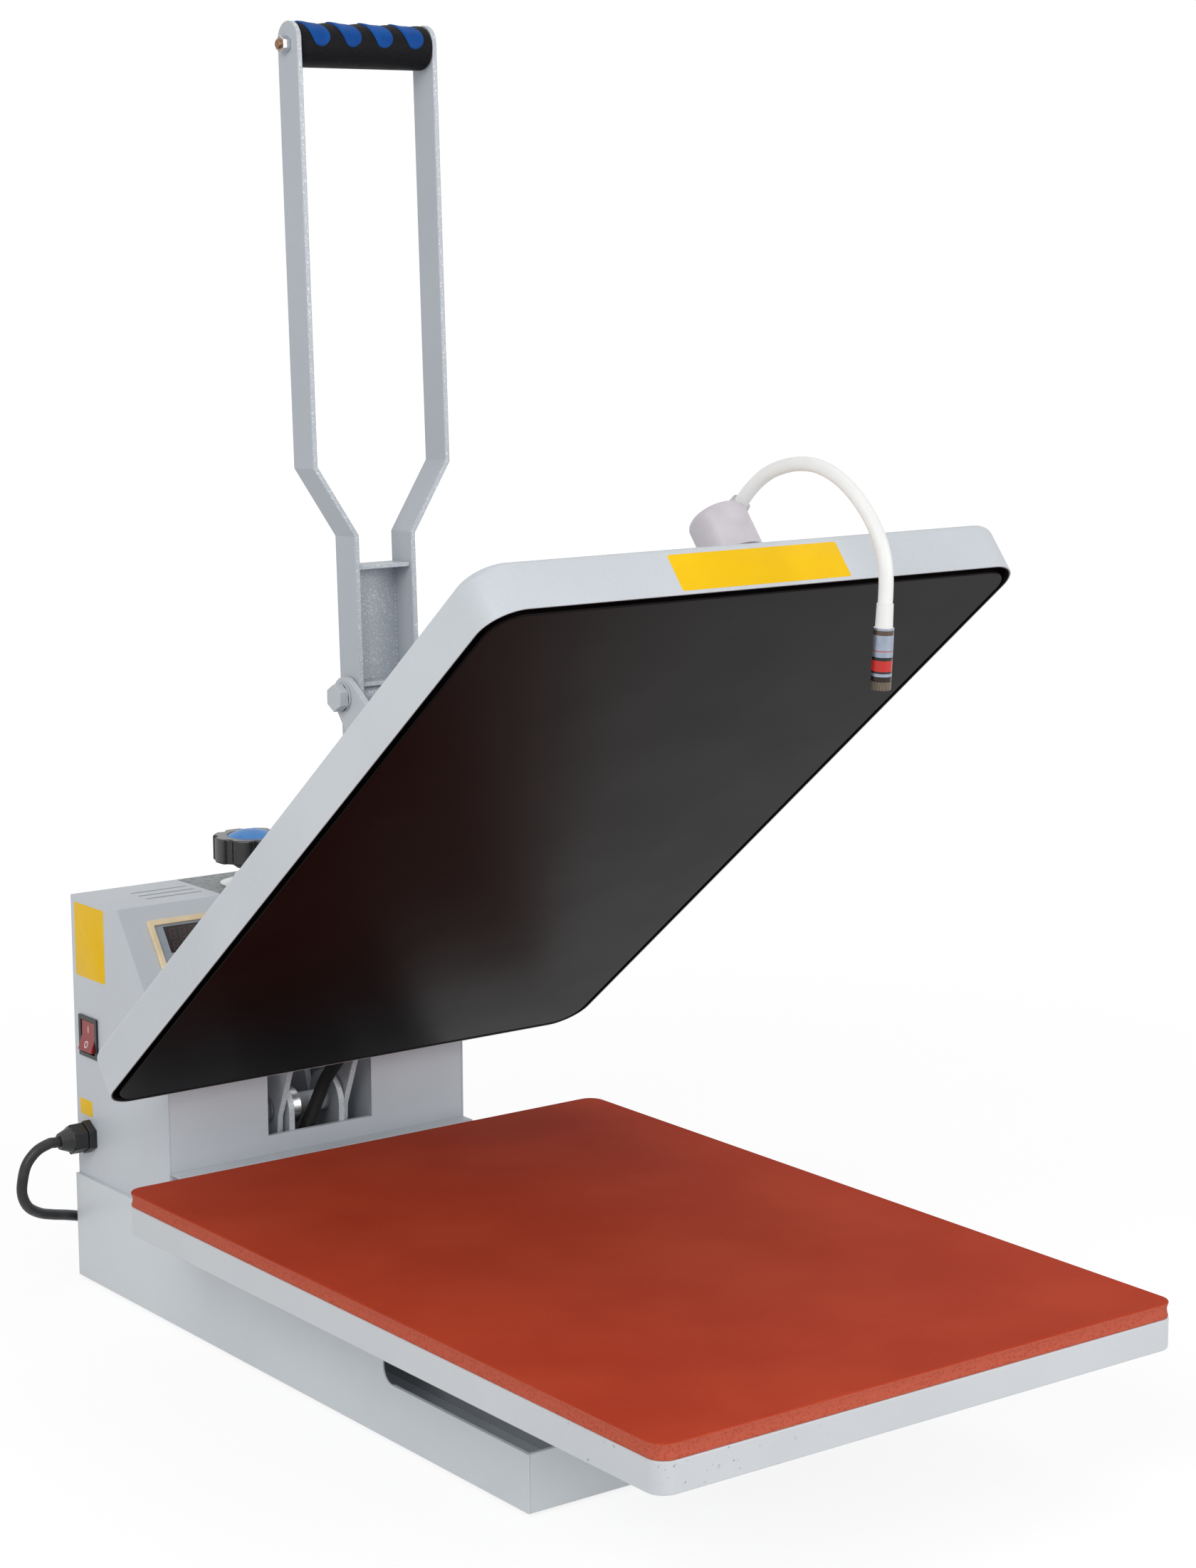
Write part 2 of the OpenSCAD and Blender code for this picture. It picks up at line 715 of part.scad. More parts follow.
module display_window() {
  color("#160d10") on_slope() translate([bezel_x - face_w / 2 + 7, -19 - window_l, face_out - face_t])
    cube([face_w - 10, window_l, face_t]);
}

module control_board() {
  board_z = -12;
  color("#2c5a3a") on_slope() {
    translate([bezel_x - face_w / 2, -bezel_down - bezel_rim - face_l, board_z]) cube([face_w, face_l, 1.6]);
    for (x = [-1, 1], y = [-22, -88]) translate([bezel_x + x * (face_w / 2 - 4), y, board_z + 1.6])
      cylinder(r = 2.5, h = face_out - face_t - board_z - 1.6);
    for (p = button_places) translate([bezel_x + p[0], p[1], board_z + 1.6]) cylinder(r = 3, h = 5);
  }
}

// One push button, sprung off its switch on the board
module push_button(k) {
  p = button_places[k];
  color("#d9d9d6") on_slope() translate([bezel_x + p[0], p[1], 0]) {
    translate([0, 0, -2]) cylinder(r = button_r, h = face_out + 3.2);
    translate([0, 0, -5.3 + button_travel]) cylinder(r = 2, h = 3.5);
  }
}

module button_menu() {
  push_button(0);
}

module button_up() {
  push_button(1);
}

module button_down() {
  push_button(2);
}

module power_relay() {
  color("#33373b") translate([-inner_wall_x - 24, column_front + 40, base_wall_h + 40]) cube([24, 58, 44]);
}

// Mains switch

module rocker_bezel() {
  rim = 1.8;
  color(BLACK) translate([-cover_half_w, switch_y, switch_z]) rotate([0, -90, 0]) difference() {
    union() {
      translate([-switch_h / 2, -switch_w / 2, 0]) cube([switch_h, switch_w, rim]);
      translate([-switch_h / 2 + 2.2, -switch_w / 2 + 2.2, -16]) cube([switch_h - 4.4, switch_w - 4.4, 16]);
    }
    translate([-switch_h / 2 + 3.2, -switch_w / 2 + 3.2, -13]) cube([switch_h - 6.4, switch_w - 6.4, 20]);
    translate([0, 0, rocker_axis_in]) rotate([90, 0, 0]) cylinder(r = rocker_pin_r + fit, h = switch_w, center = true);
  }
}

rocker_w = switch_w - 7;
rocker_half_h = switch_h / 2 - 4.2;
rocker_axis_in = -2;
rocker_axis_x = -cover_half_w - rocker_axis_in;
rocker_pin_r = 1.6;

module rocker() {
  color("#a4161d") translate([rocker_axis_x, switch_y, switch_z]) rotate([0, rocker_tilt, 0])
    rotate([90, 0, 0]) translate([0, 0, -rocker_w / 2]) linear_extrude(rocker_w) polygon([
      [6, -5], [6, 5], [-1, rocker_half_h], [-5, rocker_half_h], [-3.2, 0], [-5, -rocker_half_h], [-1, -rocker_half_h]
    ]);
  color("#a4161d") translate([rocker_axis_x, switch_y, switch_z]) rotate([90, 0, 0])
    cylinder(r = rocker_pin_r, h = switch_w - 5.2, center = true);
}

// Gland and mains lead

module gland_body() {
  color(BLACK) difference() {
    union() {
      cross_hex(-cover_half_w - 6, -cover_half_w, [gland_y, gland_z], gland_af);
      cross_rod(-cover_half_w - 12, -cover_half_w + 12, [gland_y, gland_z], 8);
      cross_hex(-cover_half_w + cover_sheet, -cover_half_w + cover_sheet + 5, [gland_y, gland_z], gland_af);
    }
    cross_rod(-cover_half_w - 20, -cover_half_w + 20, [gland_y, gland_z], gland_r);
  }
}

module gland_nut() {
  x0 = -cover_half_w - gland_out;
  color(BLACK) difference() {
    union() {
      cross_hex(x0 + 9, -cover_half_w - 6.3, [gland_y, gland_z], gland_af - 2);
      translate([x0, gland_y, gland_z]) rotate([0, 90, 0]) cylinder(r1 = cord_r + 2, r2 = gland_af / 2 - 1.5, h = 9);
    }
    cross_rod(-cover_half_w - 12.2, -cover_half_w, [gland_y, gland_z], 8.1);
    cross_rod(x0 + 3, -cover_half_w, [gland_y, gland_z], gland_r);
  }
}

cord_points = [for (p = CORD_ROUTE) cord_start + [p[0], p[1], p[2] * (gland_z - cord_r) / route_drop]];

module power_cord() {
  color(BLACK) tube_along(smooth(cord_points, 3), cord_r, 10, [0, 0, 1]);
}

// Coil: in over half the turns on the floor, up one layer while it turns, and out again on top
function coil_angle(s) = 180 - 360 * coil_lap * s;
function coil_radius(s) =
  let (w = 0.5 / coil_lap, x = abs(s - 0.5)) coil_in_r + coil_pitch * coil_lap * (x < w / 2 ? x * x / w + w / 4 : x);
function coil_height(s) =
  let (w = 0.5 / coil_lap, x = min(max((s - 0.5) / w + 0.5, 0), 1)) cord_r + coil_pitch * x * x * (3 - 2 * x);
cord_end = cord_points[len(cord_points) - 1];
coil_mid = [cord_end[0] + coil_out_r, cord_end[1] + cord_d, 0];
function coil_point(s) = coil_mid + [
  coil_radius(s) * cos(coil_angle(s)), coil_radius(s) * sin(coil_angle(s)), coil_height(s)
];
coil_steps = 24 * coil_lap;
coil_tail = 4.3 * cord_d;
coil_last = coil_mid + [coil_tail, coil_out_r, cord_r + coil_pitch];
coil_points = concat(
  [cord_end, cord_end + [0, cord_d * 0.6, 0]],
  [for (i = [1:coil_steps]) coil_point(i / coil_steps)],
  [for (k = [3:-1:0]) coil_last - [k * cord_d, 0, 0]]
);
coil_ring_count = len(coil_points);
coil_gap = min([
  for (i = [0:coil_ring_count - 9]) for (j = [i + 8:coil_ring_count - 1]) norm(coil_points[i] - coil_points[j])
]) - cord_d;
function run_length(p) = [for (i = [1:len(p) - 1]) norm(p[i] - p[i - 1])] * [for (i = [1:len(p) - 1]) 1];
echo(str("Least gap between the coil's turns: ", coil_gap, " mm"));
echo(str("Length of the lead: ", run_length(smooth(cord_points, 3)) + run_length(coil_points), " mm"));

module cord_coil() {
  color(BLACK) tube_along(coil_points, cord_r, 6, [0, 0, 1]);
}

// Moulded mains plug lying on the floor, its lead entering at the height of the coil's top layer
module plug() {
  body_w = 26;
  body_h = 2 * (cord_r + coil_pitch);
  color(BLACK) translate(coil_last) {
    rotate([0, 90, 0]) cylinder(r1 = cord_r + 1, r2 = 8, h = 24);
    translate([22, -body_w / 2, -body_h / 2]) cube([30, body_w, body_h]);
  }
  color(STEEL) translate(coil_last) {
    for (y = [-7.1, 5.6]) translate([52, y, -1]) cube([17, 1.5, 6.3]);
    translate([52, 0, -5.5]) rotate([0, 90, 0]) cylinder(r = 2.4, h = 20);
  }
}

// Pressure adjuster

module adjuster_block() {
  foot_bore = 6 + fit;
  color(STEEL) difference() {
    translate([-block_half_w, anchor[0] - 13, block_z]) cube([2 * block_half_w, 26, block_top - block_z]);
    cross_rod(-block_half_w - 1, block_half_w + 1, anchor, pin_r);
    translate([0, anchor[0], anchor[1] + pin_r + 1.5]) cylinder(r = foot_bore, h = 30);
  }
}

module toggle_pin() {
  color(STEEL) cross_rod(-upright_out, upright_out, anchor, pin_r);
}

module pressure_spindle() {
  color(STEEL) translate([0, anchor[0], 0]) {
    translate([0, 0, anchor[1] + pin_r + 1.7]) cylinder(r = 6, h = 12);
    translate([0, 0, block_top + 0.2]) cylinder(r = spindle_r, h = spindle_top - block_top - 0.2);
  }
}

module knob_body() {
  valley_r = 5;
  color(BLACK) translate([0, anchor[0], 0]) difference() {
    union() {
      translate([0, 0, knob_z]) cylinder(r = knob_r, h = knob_h);
      translate([0, 0, neck_z]) cylinder(r = 12.5, h = knob_z - neck_z + 1);
    }
    for (k = [0:lobe_count - 1]) rotate([0, 0, 360 * (k + 0.5) / lobe_count])
      translate([knob_r + valley_r * 0.35, 0, knob_z - 1]) cylinder(r = valley_r, h = knob_h + 2);
    translate([0, 0, neck_z - 1]) cylinder(r = spindle_r, h = spindle_top - neck_z + 1);
    translate([0, 0, knob_z + knob_h - 2]) cylinder(r = cap_r + 0.1, h = 5);
  }
}

module knob_cap() {
  rise = cap_h + 1;
  dome_r = (cap_r * cap_r + rise * rise) / (2 * rise);
  color("#1f5fae") translate([0, anchor[0], knob_z + knob_h - 2]) {
    cylinder(r = cap_r, h = 1.2);
    translate([0, 0, 1.2]) intersection() {
      translate([0, 0, rise - dome_r]) sphere(dome_r, $fn = 96);
      cylinder(r = cap_r, h = rise + 1);
    }
  }
}

// Two flat bars with a tube at the handle end, turning on the toggle pin
module toggle_link() {
  tip = [-link_len, 0];
  color(STEEL) translate([0, anchor[0], anchor[1]]) rotate([link_angle - 180, 0, 0]) difference() {
    union() {
      for (x = [-link_out, link_in]) side_plate(x, link_t) {
        circle(10);
        translate(tip) circle(link_tip_r);
        polygon([tip + [0, -link_tip_r], [-30, -9], [0, -9], [0, 9], [-30, 9], tip + [0, link_tip_r]]);
      }
      cross_rod(-link_tube_half, link_tube_half, tip, 7);
    }
    cross_rod(-link_out - 1, link_out + 1, [0, 0], pin_r + fit);
  }
}

// Hot platen

arm_tail = hinge + 26 * [sin(open_angle), -cos(open_angle)];
bracket_w = 18;
bracket_back = casing_back - 12;
arm_toe = pivot_shut[0] - 58;
bracket_front = arm_toe - 50;

// Upright ear at the handle pivot, low bar back to the hinge, and a tail below it
module arm_outline() {
  heel = pivot_shut + [14, -24];
  near = touching(heel, 0.01, hinge, 16, 1);
  far = touching([arm_toe, casing_top], 0.01, pivot_shut, 14, 1);
  tail_a = touching(hinge, 16, arm_tail, 14, 1);
  tail_b = touching(hinge, 16, arm_tail, 14, -1);
  difference() {
    union() {
      polygon([
        [arm_toe, casing_top], [casing_back - 2, casing_top], hinge - [4, 15.4], hinge, near[1], heel,
        pivot_shut + [14, 0], pivot_shut, far[1]
      ]);
      translate(hinge) circle(16);
      translate(pivot_shut) circle(14);
      translate(arm_tail) circle(14);
      polygon([tail_a[0], tail_a[1], arm_tail, tail_b[1], tail_b[0], hinge]);
    }
    translate(hinge) circle(shaft_r + fit);
    translate(pivot_shut) circle(pivot_r);
  }
}

bracket_bolt_y = [for (f = [0.1, 0.5, 0.9]) bracket_front + f * (bracket_back - bracket_front)];

module hot_arm(side) {
  x = side > 0 ? arm_in : -arm_out;
  foot_x = side > 0 ? arm_out - EPS : -arm_out - bracket_w + EPS;
  color(PAINT) opened() difference() {
    union() {
      side_plate(x, arm_t) arm_outline();
      translate([foot_x, bracket_front, casing_top]) cube([bracket_w, bracket_back - bracket_front, 4]);
      translate([x, bracket_front, casing_top]) cube([arm_t, bracket_back - bracket_front, 14]);
    }
    for (y = bracket_bolt_y) translate([side * (arm_out + bracket_w / 2), y, casing_top - 1]) cylinder(r = 3, h = 6);
  }
}

module arm_left() {
  hot_arm(-1);
}

module arm_right() {
  hot_arm(1);
}

// Pan with rolled edges, open below, standing on z = 0
module rolled_block(w, d, h, r, fold) {
  slab(w, d, h - fold, r);
  slab(w - 2 * fold, d - 2 * fold, h, r - fold);
  for (s = [-1, 1]) {
    translate([s * (w / 2 - fold), 0, h - fold]) rotate([90, 0, 0]) cylinder(r = fold, h = d - 2 * r, center = true);
    translate([0, s * (d / 2 - fold), h - fold]) rotate([0, 90, 0]) cylinder(r = fold, h = w - 2 * r, center = true);
  }
  for (x = [-1, 1], y = [-1, 1]) translate([x * (w / 2 - r), y * (d / 2 - r), h - fold])
    rotate_extrude() translate([r - fold, 0]) circle(fold);
}

module casing_cover() {
  s = casing_sheet;
  color(PAINT) opened() difference() {
    translate([0, plate_mid_y, rim_z]) rolled_block(casing_w, casing_d, casing_h, casing_r, casing_fold);
    translate([0, plate_mid_y, rim_z - 1]) {
      slab(casing_w - 2 * s, casing_d - 2 * s, casing_h + 0.5 - casing_fold, casing_r - s);
      slab(casing_w - 2 * casing_fold, casing_d - 2 * casing_fold, casing_h + 1 - s, casing_r - casing_fold);
    }
    for (x = [-1, 1], y = bracket_bolt_y)
      translate([x * (arm_out + bracket_w / 2), y, casing_roof - 1]) cylinder(r = 3, h = 4);
    translate([12, casing_back - s - 1, cable_exit_z]) rotate([-90, 0, 0]) cylinder(r = 5.3, h = s + 2);
  }
}

module heating_plate() {
  color(BLACK) opened() translate([0, plate_mid_y, face_z]) {
    slab(plate_w, plate_d, plate_t, plate_r);
    for (x = [-1, 1]) translate([x * 120, plate_d / 2 - 60, plate_t]) cylinder(r = 4, h = 7);
  }
}

standoff_r = 7;

module insulation_mat() {
  color("#cfc8b4") opened() difference() {
    translate([0, plate_mid_y, face_z + plate_t + 0.3]) slab(plate_w - 16, plate_d - 16, 8, 12);
    for (x = [-1, 1]) translate([x * 120, plate_mid_y + plate_d / 2 - 60, face_z]) cylinder(r = 5, h = 40);
    for (x = [-1, 1], y = bracket_bolt_y)
      translate([x * (arm_out + bracket_w / 2), y, face_z]) cylinder(r = standoff_r + 0.4, h = 40);
  }
}

// Pillars between hot plate and casing, with the bolts that hold the arms on
module plate_standoffs() {
  color(STEEL) opened() for (x = [-1, 1], y = bracket_bolt_y) translate([x * (arm_out + bracket_w / 2), y, 0]) {
    translate([0, 0, face_z + plate_t]) cylinder(r = standoff_r, h = casing_roof - face_z - plate_t);
    translate([0, 0, casing_roof]) cylinder(r = 2.9, h = casing_top + 4 - casing_roof);
    translate([0, 0, casing_top + 4]) cylinder(d = 10 / cos(30), h = 4, $fn = 6);
  }
}

cable_exit_z = casing_top - 17;
CABLE_ROUTE = [[-12, 13, -32], [-8, 5, -25.5], [-3, -5, -17], [3, -18, -6], [7, -30, 2], [10, -43, 6.5]];
cable_points = concat(
  [for (p = CABLE_ROUTE) [p[0], hinge[0] + p[1], hinge[1] + p[2]]],
  [[12, casing_back + 16, cable_exit_z], [12, casing_back + 4, cable_exit_z], [12, casing_back - 4, cable_exit_z]]
);

module heater_cable() {
  color(BLACK) opened() tube_along(smooth(cable_points, 3), 5, 10, [1, 0, 0]);
}

// Bolt through the arms and the handle, with washers and a nut
module pivot_bolt() {
  color(STEEL) translate([0, pivot_open[0], pivot_open[1]]) {
    rotate([0, 90, 0]) translate([0, 0, -arm_out - 2]) cylinder(r = pivot_r, h = 2 * arm_out + 4);
    for (x = [-arm_out - 2, arm_out]) difference() {
      cross_rod(x, x + 2, [0, 0], 10);
      cross_rod(x - 1, x + 3, [0, 0], pivot_r);
    }
    cross_hex(-arm_out - 8.5, -arm_out - 2, [0, 0], 17);
    cross_hex(arm_out + 2, arm_out + 10, [0, 0], 17);
  }
}

// Laser pointer

module on_laser() {
  opened() translate([0, laser_base_y, casing_top]) children();
}

module laser_base() {
  round_r = 5;
  color("#a9a5ab") on_laser() difference() {
    union() {
      cylinder(r = laser_base_r, h = laser_base_h - round_r);
      cylinder(r = laser_base_r - round_r, h = laser_base_h);
      translate([0, 0, laser_base_h - round_r]) rotate_extrude() translate([laser_base_r - round_r, 0]) circle(round_r);
      translate(neck_root) rotate(neck_turn) translate([0, 0, -13]) cylinder(r1 = 7.2, r2 = 6.2, h = 12.5);
    }
    translate(neck_root) rotate(neck_turn) translate([0, 0, -12]) cylinder(r = neck_d / 2 + fit, h = 40);
  }
}
neck_dir = unit(NECK_ROUTE[1] - NECK_ROUTE[0]);
neck_root = NECK_ROUTE[0];
neck_turn = [0, acos(neck_dir[2]), atan2(neck_dir[1], neck_dir[0])];

module gooseneck() {
  buried = 11;
  route = concat([neck_root - buried * neck_dir, neck_root - neck_dir], smooth(NECK_ROUTE, 3));
  color("#f2f2f0") on_laser() tube_along(route, neck_d / 2, 12, [1, 0, 0]);
}

// Frame of the laser module: its z runs back up the neck
module on_module() {
  on_laser() translate(NECK_ROUTE[len(NECK_ROUTE) - 1]) rotate([module_tilt, 0, 0]) children();
}

module laser_module() {
  color("#8d949c") on_module() difference() {
    union() {
      translate([0, 0, -ferrule_l]) cylinder(r1 = 5.2, r2 = 4.9, h = ferrule_l);
      translate([0, 0, -ferrule_l - module_l]) cylinder(d = module_d, h = module_l);
    }
    translate([0, 0, -ferrule_l - module_l - 1]) cylinder(r = 4 + fit, h = 9);
  }
}

module focus_ring() {
  color("#5b5348") on_module() translate([0, 0, -ferrule_l - module_l]) difference() {
    union() {
      translate([0, 0, -ring_l - 0.2]) cylinder(d = module_d, h = ring_l);
      translate([0, 0, -ring_l]) cylinder(r = 4, h = ring_l + 7);
    }
    translate([0, 0, -ring_l - 1]) cylinder(r = 1.8, h = ring_l + 10);
  }
}

// Handle

// Bend of a flat bar as seen from the front, with a short straight stub at each end
module bar_bend() {
  run = bend_high - bend_low;
  step = handle_half_w - bar_out;
  shift = bar_t * tan(atan2(step, run) / 2);
  stub = 8;
  polygon([
    [bar_out, bend_low - stub], [bar_out, bend_low], [handle_half_w, bend_high], [handle_half_w, bend_high + stub],
    [handle_half_w - bar_t, bend_high + stub], [handle_half_w - bar_t, bend_high + shift],
    [bar_in, bend_low + shift], [bar_in, bend_low - stub]
  ]);
}

// Straight lower stretch as seen from the side, tapered to the toggle end
module bar_low_side() {
  taper = 32;
  half = bar_w / 2;
  polygon([
    [-half, bend_low], [half, bend_low], [half, taper - toggle_len], [toggle_end_r, -toggle_len],
    [-toggle_end_r, -toggle_len], [-half, taper - toggle_len]
  ]);
  translate([0, -toggle_len]) circle(toggle_end_r);
}

module bar_high_side() {
  half = bar_w / 2;
  translate([-half, bend_high]) square([bar_w, grip_up + 3 - bend_high]);
  translate([0, grip_up + 3]) circle(half);
}

module handle_bar(side) {
  color(PAINT) on_handle() mirror([side > 0 ? 0 : 1, 0, 0]) difference() {
    union() {
      side_plate(bar_in, bar_t) bar_low_side();
      translate([0, bar_w / 2, 0]) rotate([90, 0, 0]) linear_extrude(bar_w) bar_bend();
      side_plate(handle_half_w - bar_t, bar_t) bar_high_side();
    }
    cross_rod(bar_in - 1, bar_out + 1, [0, 0], pivot_r + fit);
    cross_rod(handle_half_w - bar_t - 1, handle_half_w + 1, [0, grip_up], 3.1);
  }
}

module handle_bar_left() {
  handle_bar(-1);
}

module handle_bar_right() {
  handle_bar(1);
}

// Channel welded between the bars, and the sleeve on the pivot bolt
module handle_web() {
  sheet = 3;
  cap_z = 88;
  lip_z = 7;
  web_y = bar_w / 2;
  cap_d = bar_w - 2;
  color(PAINT) on_handle() difference() {
    union() {
      translate([-bar_in, web_y - sheet, lip_z]) cube([2 * bar_in, sheet, cap_z - lip_z + sheet]);
      for (z = [lip_z, cap_z]) translate([-bar_in, web_y - cap_d, z]) cube([2 * bar_in, cap_d, sheet]);
      cross_rod(-bar_in, bar_in, [0, 0], pivot_r + 3);
    }
    cross_rod(-bar_in - 1, bar_in + 1, [0, 0], pivot_r + fit);
  }
}

grip_half = handle_half_w - bar_t;
finger_pitch = (2 * grip_half - 8) / finger_count;

// Foam sleeve with finger recesses, on the grip's steel tube
module grip_foam() {
  recess = 1.2;
  swing = 60;
  color(BLACK) on_handle() translate([0, 0, grip_up]) rotate([0, 90, 0]) difference() {
    translate([0, 0, -grip_half + 0.1]) cylinder(r = grip_r, h = 2 * grip_half - 0.2);
    translate([0, 0, -grip_half - 1]) cylinder(r = grip_tube_r + 0.1, h = 2 * grip_half + 2);
    for (k = [0:finger_count - 1]) translate([-grip_r - swing + recess, 0, finger_pitch * (k - (finger_count - 1) / 2)])
      rotate([90, 0, 0]) scale([1, 0.18]) cylinder(r = swing, h = 2 * grip_r, center = true);
  }
}
grip_tube_r = 8;

// Steel tube, through bolt, domed nuts
module grip_bolt() {
  color(STEEL) on_handle() translate([0, 0, grip_up]) {
    difference() {
      cross_rod(-grip_half, grip_half, [0, 0], grip_tube_r);
      cross_rod(-grip_half - 1, grip_half + 1, [0, 0], 3.1);
    }
    cross_rod(-handle_half_w - 8, handle_half_w + 4, [0, 0], 3);
    cross_hex(-handle_half_w - 6, -handle_half_w, [0, 0], 10);
    cross_rod(handle_half_w, handle_half_w + 4, [0, 0], 6);
  }
}

base_tray();
base_front_panel();
rubber_feet();
base_bolts();
support_rails();
lower_platen();
silicone_pad();
frame_foot();
upright_left();
upright_right();
pressure_bridge();
frame_bolts();
hinge_shaft();
shaft_collars();
front_panel();
front_ledge();
cover_left();
cover_right();
rear_cover();
cover_screws();
top_plate();
knob_boss();
controller_bezel();
controller_face();
display_window();
control_board();
power_relay();
rocker_bezel();
rocker();
button_menu();
button_up();
button_down();
gland_body();
gland_nut();
power_cord();
cord_coil();
plug();
adjuster_block();
toggle_pin();
pressure_spindle();
knob_body();
knob_cap();
toggle_link();
arm_left();
arm_right();
casing_cover();
heating_plate();
insulation_mat();
plate_standoffs();
heater_cable();
pivot_bolt();
laser_base();
gooseneck();
laser_module();
focus_ring();
handle_bar_left();
handle_bar_right();
handle_web();
grip_foam();
grip_bolt();
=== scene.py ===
import json
import math

import bmesh
import bpy
import numpy as np
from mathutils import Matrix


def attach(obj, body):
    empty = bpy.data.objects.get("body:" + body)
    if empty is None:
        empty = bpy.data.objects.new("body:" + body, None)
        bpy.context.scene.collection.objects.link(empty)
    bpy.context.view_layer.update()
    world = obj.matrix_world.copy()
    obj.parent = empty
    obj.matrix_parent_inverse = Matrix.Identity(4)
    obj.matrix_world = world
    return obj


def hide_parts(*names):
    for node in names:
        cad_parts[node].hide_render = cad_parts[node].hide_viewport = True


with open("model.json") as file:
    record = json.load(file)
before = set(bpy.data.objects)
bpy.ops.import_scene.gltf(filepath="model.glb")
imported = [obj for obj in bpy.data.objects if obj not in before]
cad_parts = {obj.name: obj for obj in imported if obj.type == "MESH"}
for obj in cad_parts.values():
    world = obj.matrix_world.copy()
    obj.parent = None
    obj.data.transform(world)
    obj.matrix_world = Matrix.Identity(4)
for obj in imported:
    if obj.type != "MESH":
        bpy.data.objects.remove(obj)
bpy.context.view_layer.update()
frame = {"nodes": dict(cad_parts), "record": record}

# Photographer's table: a pale floor that fades into a white room, a broad soft lamp over each
# shoulder and a weak one overhead. The camera stands to the left of the press, a little above
# the raised platen's middle, on a long lens.
LONG_SIDE_PX = 2202
FOCAL_PX = 4581.1
SENSOR_MM = 36
CAMERA_PLACE = (-1.2216, -1.7306, 0.7807)
CAMERA_DEGREES = (80.250, 0.279, -36.595)
camera_data = bpy.data.cameras.new("camera")
camera_data.sensor_width = SENSOR_MM
camera_data.lens = FOCAL_PX * SENSOR_MM / LONG_SIDE_PX
camera_data.clip_end = 50
camera = bpy.data.objects.new("camera", camera_data)
camera.location = CAMERA_PLACE
camera.rotation_euler = [math.radians(a) for a in CAMERA_DEGREES]
bpy.context.scene.collection.objects.link(camera)
bpy.context.scene.camera = camera
bpy.context.scene.view_settings.view_transform = "Standard"


def soft_lamp(name, place, aim, width, height, watts):
    """A rectangular lamp at place, turned so that its face looks at aim."""
    data = bpy.data.lights.new(name, "AREA")
    data.shape = "RECTANGLE"
    data.size = width
    data.size_y = height
    data.energy = watts
    lamp = bpy.data.objects.new(name, data)
    lamp.location = place
    away = np.array(place) - np.array(aim)
    yaw = math.atan2(away[0], -away[1])
    pitch = math.atan2(math.hypot(away[0], away[1]), away[2])
    lamp.rotation_euler = (pitch, 0, yaw)
    bpy.context.scene.collection.objects.link(lamp)


soft_lamp("lamp_left", (-2.6, -1.4, 2.1), (0, 0, 0.3), 2.2, 1.8, 55.6)
soft_lamp("lamp_front", (1.5, -3.2, 1.3), (0, 0, 0.3), 2.4, 1.6, 51.5)
soft_lamp("lamp_top", (0.3, 0.3, 3.2), (0, 0, 0.2), 2.4, 2.4, 17.2)


class Wire:
    """A value in a material. Arithmetic on it adds the Math nodes that work it out."""

    def __init__(self, finish, socket):
        self.finish = finish
        self.socket = socket

    def maths(self, operation, *others):
        values = dict(enumerate((self,) + others))
        return self.finish.node("Math", {"operation": operation}, values)

    def __add__(self, other):
        return self.maths("ADD", other)

    def __sub__(self, other):
        return self.maths("SUBTRACT", other)

    def __mul__(self, other):
        return self.maths("MULTIPLY", other)

    def __rsub__(self, other):
        return self.finish.node("Math", {"operation": "SUBTRACT"}, {0: other, 1: self})

    __radd__ = __add__
    __rmul__ = __mul__

    def ramp(self, low, high):
        """0 below low, 1 above high and a smooth climb between; low may be the larger."""
        kind = {"interpolation_type": "SMOOTHSTEP"}
        return self.finish.node("MapRange", kind, {"Value": self, "From Min": low, "From Max": high})


